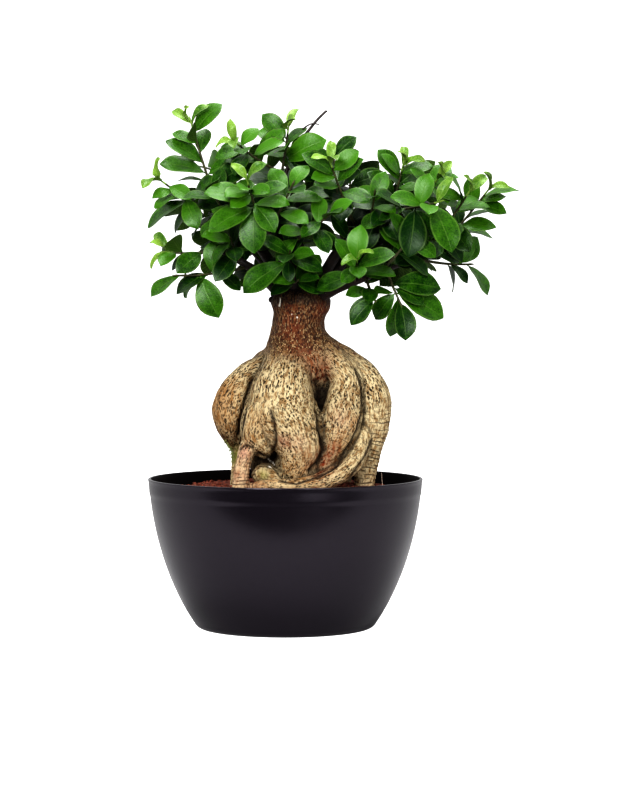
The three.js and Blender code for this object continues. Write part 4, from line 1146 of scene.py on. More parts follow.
@dataclass
class Trunk:
    """The roots and the neck, grown together into one skin."""

    voxel: float = 1.15
    seed: int = 11
    first_smoothing: Rounds = (3, 0.6)
    last_smoothing: Rounds = (2, 0.35)
    evening: Span = (0.01, 0.6)
    evening_rounds: int = 40
    samples: int = 56
    set_apart: float = 170.0
    foot_level: float = 98.0
    even_levels: Span = (196.0, 226.0)
    neck_levels: Span = (202.0, 240.0)
    neck_edge: Lumps = Lumps(6.0, 16.0, 34)
    pale_levels: Span = (215.0, 255.0)
    palest: float = 0.95
    paling: float = 0.6
    collar_levels: Span = (256.0, 263.0)
    collar_lift: float = 0.4
    collar_shading: float = 0.7
    collar_knobs: Lumps = Lumps(0.9, 3.6, 35)
    lumps: tuple[Lumps, ...] = (Lumps(0.5, 11.0, 32), Lumps(0.3, 4.5, 33))
    wrinkle_step: float = 3.6
    wrinkle_depth: float = 0.22
    wrinkle_waver: Lumps = Lumps(2.5, 9.0, 31)
    crease_levels: Span = (200.0, 216.0)
    crease_gap: Span = (0.6, 4.0)
    crease_hollow: Span = (0.04, 0.45)
    crease_cut: float = 1.3
    crease_shading: float = 0.85
    crease_rounds: int = 5
    furrow_facing: Span = (-0.1, 0.3)
    furrow_behind: float = 6.0
    furrow_edge: float = 1.6
    furrows: tuple[Stroke, ...] = (
        Stroke(((-17, 217), (-19, 213.7), (-22.2, 206.6), (-26.2, 197.9), (-29.4, 188.4), (-32.5, 177.3),
                (-34.9, 166.2), (-36.5, 155.1)), 1.9, 2.6),
        Stroke(((-11.7, 176.7), (-9.3, 168.8), (-7.8, 159.4), (-7.8, 151.6), (-9.3, 143.7)), 1.7, 2.2),
        Stroke(((25.2, 196.9), (26, 187.5), (26.8, 176.4), (27.5, 165.4), (29.9, 154.4), (30.7, 145),
                (26.8, 134.7), (20.5, 128.4)), 2.1, 3.0),
        Stroke(((56.8, 209.1), (60.8, 198), (62.3, 185.4), (61.6, 172.7), (58.4, 161.6), (53.7, 150.6),
                (45.8, 139.5), (37.9, 131.5), (25.2, 123.6)), 1.6, 2.4),
        Stroke(((68.9, 151.7), (63.3, 139.7), (57, 131), (51.4, 122.3)), 1.2, 1.0),
        Stroke(((-9.6, 137.4), (-7.6, 128.8), (-2.9, 120.8), (9.1, 118.6), (21.1, 122.8), (30.3, 127.4)), 1.3, 1.4),
        Stroke(((-35.3, 145.1), (-30.6, 149), (-25.1, 146.7)), 1.2, 1.0),
        Stroke(((28.8, 192.0), (27.6, 183.9), (27.6, 176)), 3.4, 4.5),
        Stroke(((-21.2, 140.2), (-14.9, 136.3), (-7.8, 138.7)), 3.0, 3.0),
    )
    resin: tuple[Stroke, ...] = (
        Stroke(((-3.8, 263.6), (-4.1, 260)), 0.6, 0.3),
        Stroke(((-4.4, 259), (-4.7, 257.8)), 0.95, 0.3),
        Stroke(((5.2, 251.5), (5.3, 251.2)), 0.6, 0.3),
        Stroke(((9.4, 249), (9.6, 248.6)), 0.9, 0.3),
        Stroke(((-13.6, 136), (-11.6, 134.4)), 0.7, 0.3),
        Stroke(((-10.4, 134.2), (-8.6, 131.8)), 0.6, 0.3),
        Stroke(((-13, 131.4), (-11.2, 130.4)), 0.5, 0.3),
    )

    def roots(self) -> list[Root]:
        """All roots."""
        return [Root(np.array(knots, float)) for knots in ROOTS.values()]

    def skin(self) -> Mesh:
        """The roots' tubes, grown into one closed skin of small squares."""
        rough = join_shells("roots_apart", [root.shell(self.seed + 3 * i) for i, root in enumerate(self.roots())])
        helper = put_object("roots_apart", rough)
        skin = helper.modifiers.new("skin", "REMESH")
        skin.mode = "VOXEL"
        skin.voxel_size = self.voxel * MM
        grown = helper.evaluated_get(bpy.context.evaluated_depsgraph_get())
        mesh = bpy.data.meshes.new_from_object(grown)
        mesh.name = "trunk"
        bpy.data.objects.remove(helper)
        bpy.data.meshes.remove(rough)
        return mesh

    def grain(self, points: Array) -> tuple[Array, Array]:
        """Where each point lies on the root that it belongs to.

        The nearest root is the one whose surface, its line's distance less its radius there, is least far away.

        Args:
            points: The skin's points.

        Returns:
            The place in the root's own directions with its length last, in metres, and how far away the next
            root's surface is, in millimetres.
        """
        nearest = np.full(len(points), np.inf)
        second = np.full(len(points), np.inf)
        grain = np.zeros_like(points)
        for number, root in enumerate(self.roots()):
            centres, radii = root.line(self.samples)
            along, side, up = carried_frames(centres, TOWARDS_BACK)
            lengths = lengths_along(centres)
            squares = (points**2).sum(1)[:, None] - 2 * points @ centres.T + (centres**2).sum(1)[None]
            apart = np.sqrt(np.maximum(squares, 0.0)) - radii[None]
            which = apart.argmin(1)
            gap = apart[np.arange(len(points)), which]
            offset = points - centres[which]
            own = np.stack([(offset * way[which]).sum(1) for way in (side, up, along)], -1)
            own[:, 2] = lengths[which] + own[:, 2] + self.set_apart * number
            closer = gap < nearest
            second = np.where(closer, nearest, np.minimum(second, gap))
            nearest = np.where(closer, gap, nearest)
            grain = np.where(closer[:, None], own, grain)
        return grain * MM, second

    def carved(self, web: "Web", mesh: Mesh, points: Array, second: Array) -> tuple[Array, Array]:
        """Cuts the creases between the roots.

        Args:
            web: The skin's edges.
            mesh: The skin.
            points: Its points.
            second: How far the next root's surface is from each.

        Returns:
            The points after the cut, and how much painted shade each takes in the creases and furrows, from 0 to 1.
        """
        outward = web.normals(mesh, points)
        hollow = web.hollow(points, outward, self.crease_rounds)
        low = 1.0 - smooth_step(points[:, 2], *self.crease_levels)
        near_other = 1.0 - smooth_step(second, *self.crease_gap)
        natural = smooth_step(hollow, *self.crease_hollow) * near_other * low
        front = smooth_step(-outward[:, 1], *self.furrow_facing) * (points[:, 1] < self.furrow_behind)
        cut = self.crease_cut * natural
        # Painted shade, deepest where the surface is hollow between roots and along the furrows.
        dark = self.crease_shading * natural
        for furrow in self.furrows:
            weight = furrow.over(points) * front
            cut = np.maximum(cut, furrow.depth * weight)
            dark = np.maximum(dark, weight**self.furrow_edge)
        return points - outward * cut[:, None], np.clip(dark, 0.0, 1.0)

    def relief(self, points: Array, along: Array, wrinkled: Array, collar: Array) -> Array:
        """How far the bark stands out: lumps, swellings, wrinkles across the roots and a knobbly collar.

        A wrinkle is a wave sin(2 pi along / step + waver).

        Args:
            points: The skin's points.
            along: How far along its root each lies, in millimetres.
            wrinkled: How wrinkled the bark is there, from 0 to 1.
            collar: How far into the collar under the limbs it lies, from 0 to 1.

        Returns:
            One height for each point.
        """
        across = np.sin(2 * math.pi * (along / self.wrinkle_step) + self.wrinkle_waver.over(points))
        relief = sum(lump.over(points) for lump in self.lumps)
        relief += sum(patch.over(points) for patch in PATCHES["swell"])
        knobs = collar * (self.collar_lift + self.collar_knobs.over(points))
        return relief + (self.wrinkle_depth * wrinkled * across + knobs)

    def paint(self, mesh: Mesh, points: Array, done: dict[str, Array]) -> None:
        """Paints the finished skin.

        Args:
            mesh: The skin.
            points: Its points.
            done: The paints that are known already, by name.
        """
        high = points[:, 2]
        resin = np.maximum.reduce([drop.over(points) for drop in self.resin])
        paints = {
            **done,
            # Painted shade: the shade patches darken the hollows as well as the creases and furrows.
            "crease_shade": np.maximum(done["crease_shade"], self.total("shade", points)),
            "neck": smooth_step(high + self.neck_edge.over(points), *self.neck_levels),
            "pale": self.palest - self.paling * smooth_step(high, *self.pale_levels),
            "resin": resin * (points[:, 1] < 0.0),
        }
        for name in ("rust", "warm", "brown", "moss", "pink"):
            paints[name] = self.total(name, points)
        for name, values in paints.items():
            put_attribute(mesh, name, values, "POINT")

    def build(self, finish: BarkFinish, effects: Effects) -> None:
        """Grows the skin, smooths it, cuts its creases, gives it relief and paint, and dresses it."""
        mesh = self.skin()
        web = Web(mesh)
        points = web.smoothed(mesh_points(mesh), *self.first_smoothing)
        least, more = self.evening
        even = least + more * smooth_step(points[:, 2:], *self.even_levels)
        points = web.smoothed(points, self.evening_rounds, even)
        grain, second = self.grain(points)
        points, crease_shade = self.carved(web, mesh, points, second)
        points = web.smoothed(points, *self.last_smoothing)
        wrinkled = self.total("rings", points)
        collar = smooth_step(points[:, 2], *self.collar_levels)
        relief = self.relief(points, grain[:, 2] / MM, wrinkled, collar)
        points += web.normals(mesh, points) * relief[:, None]
        points[:, 2] = np.maximum(points[:, 2], self.foot_level)
        put_points(mesh, points)
        mesh.polygons.foreach_set("use_smooth", np.ones(len(mesh.polygons), bool))
        mesh.update()
        # Painted shade on the collar under the limbs, added to the painted shade in the creases and furrows.
        dark = np.maximum(crease_shade, self.collar_shading * collar)
        self.paint(mesh, points, {"grain": grain, "crease_shade": dark, "rings": wrinkled})
        add_piece(mesh, Slot.BARK, [finish.material(effects)], "tree")

    @staticmethod
    def total(paint: str, points: Array) -> Array:
        """The weights of a paint's patches added up, at most 1."""
        return np.clip(sum(patch.over(points) for patch in PATCHES[paint]), 0.0, 1.0)


@dataclass
class RootHairs:
    """Fine hairs of moss on the left root's edge and a few pale root fibres that stand in the soil."""

    count: int = 80
    seed: int = 83
    hair: float = 0.16
    hair_taper: float = 0.1
    fibre_radii: Span = (0.35, 0.15)
    edge: tuple[Place, ...] = (
        (-48, -8, 151.5), (-44.5, -8, 146.7), (-42, -8, 142.7), (-41.5, -8, 139), (-41.5, -8, 134),
    )
    fibres: tuple[tuple[tuple[float, ...], ...], ...] = (
        ((78, -22, 110), (77, -22, 118), (76.4, -22, 126)),
        ((56, -30, 111), (60, -31, 114), (66, -32, 112.5)),
        ((50, -36, 112), (56, -37, 113.6), (61, -38, 112)),
        ((-60, -30, 110), (-54, -32, 113), (-47, -33, 112)),
    )

    def moss(self) -> Shell:
        """The moss hairs: thin bowed tubes that start just inside the bark and hang outwards."""
        chance = np.random.default_rng(self.seed)
        feet = spline(np.array(self.edge, float), chance.uniform(0.0, 1.0, self.count))
        feet += chance.uniform(-1.0, 1.0, feet.shape) * np.array([0.4, 3.0, 0.4])
        ways = np.array([-0.35, 0.0, -0.75]) + chance.uniform(-0.45, 0.45, (self.count, 3))
        ends = feet + unit(ways) * chance.uniform(2.0, 6.0, (self.count, 1))
        bends = (feet + ends) / 2 + np.array([0.0, 0.0, 0.6])
        shares = np.linspace(0, 1, 5)
        lines = [bezier(foot, bend, end, shares) for foot, bend, end in zip(feet, bends, ends)]
        radii = self.hair - self.hair_taper * shares
        return merged([tube(line, radii, 4, np.array([0.2, 0.9, 0.4])) for line in lines])

    def build(self, moss: TwigFinish, fibre: TwigFinish, effects: Effects) -> None:
        """Makes the hairs and dresses them."""
        shares, radii = np.linspace(0, 1, 12), np.linspace(*self.fibre_radii, 12)
        fibres = merged([tube(spline(np.array(line, float), shares), radii, 6) for line in self.fibres])
        fibres.finish = 1
        mesh = join_shells("root_hairs", [self.moss(), fibres])
        add_piece(mesh, Slot.BARK, [moss.material(effects), fibre.material(effects)])


class Web:
    """The edges of a mesh, by which its points are averaged with their neighbours."""

    def __init__(self, mesh: Mesh) -> None:
        """Reads the mesh's edges and faces."""
        self.count = len(mesh.vertices)
        self.a, self.b = edge_ends(mesh).T
        degree = np.bincount(self.a, minlength=self.count) + np.bincount(self.b, minlength=self.count)
        self.degree = np.maximum(degree, 1)

    def average(self, values: Array) -> Array:
        """The mean of each point's neighbours."""
        columns = values.reshape(self.count, -1)
        summed = [
            np.bincount(self.a, column[self.b], self.count) + np.bincount(self.b, column[self.a], self.count)
            for column in columns.T
        ]
        return (np.stack(summed, -1) / self.degree[:, None]).reshape(values.shape)

    def smoothed(self, points: Array, rounds: int, weight: Array | float) -> Array:
        """Points drawn towards their neighbours' mean, by one weight or by a column with a weight for each."""
        for _ in range(rounds):
            points = points + (self.average(points) - points) * weight
        return points

    def normals(self, mesh: Mesh, points: Array) -> Array:
        """The outward direction at each point."""
        put_points(mesh, points)
        mesh.update()
        flat = np.empty(self.count * 3, np.float32)
        mesh.vertex_normals.foreach_get("vector", flat)
        return flat.reshape(-1, 3).astype(float)

    def hollow(self, points: Array, outward: Array, rounds: int) -> Array:
        """How hollow the surface is: how far outside each point its neighbourhood's mean lies, in millimetres."""
        mean = points
        for _ in range(rounds):
            mean = self.average(mean)
        return ((mean - points) * outward).sum(1)


@dataclass
class Limbs:
    """The limbs above the neck, a bare twig with a loose tendril, and small snags where twigs broke off."""

    rings: int = 40
    sides: int = 12
    seed: int = 41
    waver: float = 0.9
    waver_size: float = 16.0
    knuckle: float = 0.13
    knuckle_size: float = 9.0
    knuckle_least: float = 1.9
    tendril_radii: Span = (0.75, 0.45)
    snags: tuple[tuple[tuple[float, ...], tuple[float, ...], float], ...] = (
        ((-8, -4, 262), (-13.2, -5, 263.4), 2.2),
        ((-6, -2, 260), (-8, -4, 272), 4.2),
        ((14, -2, 258), (13.5, -4, 283), 7.0),
    )

    def limb(self, limb: Limb, seed: int) -> Shell:
        """A tapering tube whose line wavers and whose radius swells at its joints.

        Args:
            limb: The limb.
            seed: The number that its noise grows from.

        Returns:
            The surface.
        """
        shares = np.linspace(0.0, 1.0, self.rings)
        centres = limb.points(shares)
        waver = np.stack([lattice_noise(centres + 40.0 * k, self.waver_size, seed + k) for k in range(3)], -1)
        centres = centres + self.waver * waver * np.sin(math.pi * shares)[:, None]
        radii = limb.thick + (limb.thin - limb.thick) * shares
        lumps = np.clip(lattice_noise(centres, self.knuckle_size, seed + 5), 0.0, 1.0)
        knuckles = 1.0 + self.knuckle * lumps * (radii > self.knuckle_least)
        return tube(centres, radii * knuckles, self.sides, np.array([0.35, 0.9, -0.25]))

    def tendril(self) -> Shell:
        """The thin bowed side twig of the bare twig."""
        knots = np.array([[11.4, -5, 394], [15.0, -7, 399], [21, -8, 402.4], [27, -6, 402]], float)
        line = spline(knots, np.linspace(0, 1, 18))
        return tube(line, np.linspace(*self.tendril_radii, 18), 8, np.array([0.0, 0.9, 0.3]))

    @staticmethod
    def snag(start: tuple[float, ...], end: tuple[float, ...], thick: float) -> Shell:
        """A short blunt stump with a knobbly end."""
        shares = np.linspace(0.0, 1.0, 9)
        line = np.array(start) + (np.array(end) - np.array(start)) * shares[:, None]
        radii = thick * np.array([0.8, 0.85, 0.9, 0.95, 1.05, 1.15, 1.1, 0.85, 0.4])
        return tube(line, radii, 10, np.array([0.3, 0.9, 0.3]))

    def build(self, finish: TwigFinish, effects: Effects) -> None:
        """Makes the limbs and dresses them."""
        shells = [self.limb(limb, self.seed + 10 * i) for i, limb in enumerate(LIMBS.values())]
        snags = [self.snag(*row) for row in self.snags]
        mesh = join_shells("limbs", [*shells, *snags, self.tendril()])
        add_piece(mesh, Slot.BARK, [finish.material(effects)], "tree")


# Leafy shoots


@dataclass(frozen=True)
class LeafForm:
    """A leaf's width as a share of its length, the bend of its midrib and the fold of its halves in degrees, and how
    strongly it is ruffled and twisted."""

    width: float
    arch: float
    fold: float
    ruffle: float


FORMS = {Age.GROWN: LeafForm(0.58, 38.0, 13.0, 1.0), Age.YOUNG: LeafForm(0.46, 75.0, 34.0, 2.4)}

# Turns in clock and lean that a leaf may have taken to keep clear of its neighbours, in degrees.
TURNS = np.array(
    [(0, 0), (9, 6), (-9, 6), (0, -14), (12, -12), (-12, -12), (0, 16), (20, 4), (-20, 4), (26, -16), (-26, -16),
     (34, 8), (-34, 8)],
    float,
)
WIDEST_AT = 0.56
GOLDEN_ANGLE = 137.5


def pointing(clock: Array, lean: Array) -> Array:
    """The direction at a clock angle seen from the front and a lean towards the viewer, both in degrees."""
    c, s = np.radians(clock), np.radians(lean)
    return np.stack([np.sin(c) * np.cos(s), -np.sin(s), np.cos(c) * np.cos(s)], -1)


def clock_and_lean(direction: Array) -> tuple[float, float]:
    """The clock angle and the lean of a direction, in degrees."""
    clock = math.degrees(math.atan2(direction[0], direction[2]))
    return clock, math.degrees(math.asin(-direction[1]))


@dataclass
class Leaves:
    """Many leaves at once: for each, its base, its own directions along, out of its upper face and across, and its
    length. All leaves of one set have the same form."""

    base: Array
    along: Array
    face: Array
    across: Array
    length: Array
    form: LeafForm

    ALONG = np.array([0.02, 0.08, 0.16, 0.26, 0.37, 0.48, 0.59, 0.70, 0.80, 0.88, 0.945, 0.985])
    ROUND = np.array([0.0, 0.55, 1.0, 0.0, -1.0, -0.55])
    SIDE = np.array([1.0, 1.0, 0.0, -1.0, 0.0, 1.0])
    # The ranges that a leaf's margin wave, its phase, its twist, its curl and its width are drawn from.
    LOTS = ((0.1, 0.8), (0.0, 6.28), (-0.25, 0.25), (0.15, 0.6), (0.93, 1.05))
    WAVES = 9.0
    THICK = 0.42
    BLADE_FROM = (0.15, 0.4)
    CROWN_MIDDLE = (35.0, 12.0)
    CROWN_REACH = (180.0, 45.0)
    FACING_OUT = 0.8
    FACING_UP = 0.7

    @classmethod
    def placed(cls, base: Array, wish: Array, form: LeafForm) -> "Leaves":
        """Leaves set by the straight line from base to tip, over which the midrib is an arc.

        The upper face looks up and out from the crown's middle, square to that line, then rolled about it.

        Args:
            base: The leaves' bases.
            wish: For each leaf its clock angle, lean, length and roll.
            form: The leaves' form.

        Returns:
            The leaves.
        """
        clock, lean, length, roll = wish.T
        chord = pointing(clock, lean)
        level = unit((base[:, :2] - np.array(cls.CROWN_MIDDLE)) / np.array(cls.CROWN_REACH)) * cls.FACING_OUT
        over = np.concatenate([level, np.full((len(base), 1), cls.FACING_UP)], axis=1)
        over = unit(over - chord * (over * chord).sum(1, keepdims=True))
        angle = np.radians(roll)[:, None]
        over = over * np.cos(angle) + np.cross(chord, over) * np.sin(angle)
        half = math.radians(form.arch) / 2
        along = chord * math.cos(half) + over * math.sin(half)
        face = over * math.cos(half) - chord * math.sin(half)
        return cls(base, along, face, np.cross(along, face), length, form)

    def midrib(self, share: Array) -> Array:
        """Points of the midrib: base + along R sin(t) - face R (1 - cos t), with R = length / arch and t = arch u."""
        arch = math.radians(self.form.arch)
        turn = arch * share[None, :, None]
        radius = (self.length / arch)[:, None, None]
        along, face = self.along[:, None], self.face[:, None]
        return self.base[:, None] + along * radius * np.sin(turn) - face * radius * (1 - np.cos(turn))

    def half_width(self, share: Array) -> Array:
        """Half the blade's width: a stalk, then a taper, widest past the middle, ending in a point."""
        rising = np.sin(math.pi / 2 * np.minimum(share / WIDEST_AT, 1.0)) ** 1.1
        falling = np.cos(math.pi / 2 * np.maximum((share - WIDEST_AT) / (1 - WIDEST_AT), 0.0) ** 1.4)
        swell = np.where(share < WIDEST_AT, rising, falling) * smooth_step(share, 0.0, 0.16)
        return self.length[:, None] * self.form.width * swell[None] / 2

    def spots(self, rows: int = 13, columns: int = 9) -> Array:
        """Points spread over each blade, a leaf's points in one row."""
        share = np.linspace(0.24, 1.0, rows)
        v = (self.half_width(share)[..., None] * np.linspace(-1.0, 1.0, columns))[..., None]
        turn = math.radians(self.form.arch) * share[:, None]
        normal = self.face[:, None] * np.cos(turn) + self.along[:, None] * np.sin(turn)
        fold = math.radians(self.form.fold)
        flat = self.across[:, None, None] * v * math.cos(fold)
        raised = normal[:, :, None] * np.abs(v) * math.sin(fold)
        return (self.midrib(share)[:, :, None] + flat + raised).reshape(len(self.length), -1, 3)

    def shell(self, tint: Array, seed: int) -> Shell:
        """The leaves as closed thin blades.

        Each is a flattened tube round its midrib: v runs out to the margin and back beneath. Its halves rise from
        the midrib by v sin(fold) and curl over towards the margin, the margin waves, and the blade twists a little.

        Args:
            tint: One tone for each leaf.
            seed: The number that the small differences grow from.

        Returns:
            The surface, with "tint" on its points and "under" on its faces.
        """
        chance = np.random.default_rng(seed)
        count, rings, sides = len(self.length), len(self.ALONG), len(self.ROUND)
        wave, phase, twist, curl, wide = (chance.uniform(*lots, (count, 1, 1)) for lots in self.LOTS)
        u = self.ALONG[None, :, None]
        s = self.ROUND[None, None, :]
        blade = smooth_step(u, *self.BLADE_FROM)
        stalk = 0.05 + 0.4 * (1 - blade)
        half = np.maximum(self.half_width(self.ALONG)[..., None] * wide, stalk)
        v = half * s
        thick = np.maximum(self.THICK * (1 - 0.35 * u), 2 * stalk * (1 - smooth_step(u, 0.04, 0.2)))
        fold = math.radians(self.form.fold)
        rise = np.abs(v) * math.sin(fold) * (1 + curl * (1 - 1.6 * np.abs(s)))
        ruffle = self.form.ruffle
        rise = rise + ruffle * wave * s**2 * np.sin(self.WAVES * u + phase + 1.3 * s) * blade
        lift = (rise + thick * self.SIDE[None, None] / 2)[..., None]
        turn = math.radians(self.form.arch) * self.ALONG[None, :, None]
        normal = (self.face[:, None] * np.cos(turn) + self.along[:, None] * np.sin(turn))[:, :, None]
        sway = ruffle * twist * (u - 0.3)
        cos, sin = np.cos(sway)[..., None], np.sin(sway)[..., None]
        across = self.across[:, None, None]
        rings_at = self.midrib(self.ALONG)[:, :, None]
        flat = (v * math.cos(fold))[..., None]
        body = rings_at + (across * cos + normal * sin) * flat + (normal * cos - across * sin) * lift
        poles = self.midrib(np.array([0.0, 1.0]))
        points = np.concatenate([body.reshape(count, -1, 3), poles], axis=1)
        quads, triangles = tube_faces(rings, sides)
        first = (np.arange(count) * (rings * sides + 2))[:, None, None]
        mapped = np.stack(np.broadcast_arrays(self.ALONG[:, None], 0.5 + self.ROUND[None] / 2), -1).reshape(-1, 2)
        uv = np.concatenate([mapped, [[0.0, 0.5], [1.0, 0.5]]])
        beneath = ((np.arange(sides) == 2) | (np.arange(sides) == 3)).astype(float)
        rim = np.concatenate([np.tile(np.abs(self.ROUND) > 0.9, rings), [False, True]]).astype(float)
        faces = [np.tile(beneath, (rings - 1) * count), np.tile(beneath, 2 * count)]
        size = rings * sides + 2
        return Shell(
            points.reshape(-1, 3),
            (quads[None] + first).reshape(-1, 4),
            (triangles[None] + first).reshape(-1, 3),
            {"tint": np.repeat(tint, size), "rim": np.tile(rim, count)},
            {"under": np.concatenate(faces)},
            np.tile(uv, (count, 1)),
        )


@dataclass(frozen=True)
class Shoot:
    """A leafy shoot: the limb that carries it and how far along it, its tip, how many pale leaves its new growth
    has, how many leaves wind up it by rule, and its listed leaves as (clock, lean, length, roll)."""

    name: str
    limb: str
    at: float
    tip: Place
    young: int
    more: int
    listed: tuple[tuple[float, ...], ...] = ()

    SAG = 0.06
    FOOT_GAP = 0.12
    FOOT_RADIUS = 1.5
    FIRST_LEAF = 0.36
    LAST_LEAF = 0.95

    def foot(self) -> tuple[Array, Array]:
        """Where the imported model's stem leaves its limb, and the way it sets off."""
        limb = LIMBS[self.limb]
        rings = limb.points(np.linspace(0, 1, 4))
        ring = min(math.floor(self.at * 3), 2)
        on = rings[ring] + (rings[ring + 1] - rings[ring]) * (self.at * 3 - ring)
        along = unit(rings[ring + 1] - rings[ring])
        out = unit(np.array(self.tip, float) - on)
        out[2] -= 2 * self.SAG
        out = unit(out)
        level = float(out @ along)
        skew = math.sqrt(1 - level * level)
        if self.at == 1:
            return on + out * (self.FOOT_GAP + self.FOOT_RADIUS * skew) / level, out
        radius = limb.thick + (limb.thin - limb.thick) * self.at
        return on + out * (radius + self.FOOT_GAP + self.FOOT_RADIUS * abs(level)) / skew, out

    def stem(self, shares: Array) -> Array:
        """Points of the stem's line, which sags a little from its foot to its tip."""
        start, _ = self.foot()
        tip = np.array(self.tip, float)
        bend = (start + tip) / 2
        bend[2] -= self.SAG * float(np.linalg.norm(tip - start))
        return bezier(start, bend, tip, shares)

    def heading(self) -> Array:
        """The stem's direction at its tip."""
        last = self.stem(np.array([0.9999, 1.0]))
        return unit(last[1] - last[0])

    def height_of(self, number: Array, count: float) -> Array:
        """How far up the stem a leaf stands, as number of count."""
        return self.FIRST_LEAF + (self.LAST_LEAF - self.FIRST_LEAF) * number / count

    def listed_wishes(self) -> tuple[Array, Array]:
        """The listed leaves' places up the stem and their wishes."""
        rows = [(*leaf, 0.0)[:4] for leaf in self.listed]
        return self.height_of(np.arange(len(rows)), max(len(rows) - 1, 1)), np.array(rows, float).reshape(-1, 4)

    def ruled_wishes(self, seed: int) -> tuple[Array, Array]:
        """The leaves that wind up the stem by the golden angle.

        Each spreads by 92 - 46 share degrees, give or take 7, is 31 - 6 share long, give or take 3, and is rolled by
        up to 15 degrees.

        Args:
            seed: The number that their stream of lots grows from.

        Returns:
            Their places up the stem and their wishes.
        """
        stream = draws(seed)
        axis = self.heading()
        sideways = unit(np.cross([0.0, 0.0, 1.0], axis))
        phase = 360 * next(stream)
        rows = []
        for i in range(self.more):
            share = (i + 0.5) / self.more
            spread = math.radians(92 - 46 * share + 14 * (next(stream) - 0.5))
            out = turned(sideways, axis, phase + GOLDEN_ANGLE * i)
            clock, lean = clock_and_lean(axis * math.cos(spread) + out * math.sin(spread))
            rows.append((clock, lean, 31 - 6 * share + 6 * (next(stream) - 0.5), 30 * (next(stream) - 0.5)))
        return self.height_of(np.arange(self.more) + 0.5, self.more), np.array(rows, float).reshape(-1, 4)


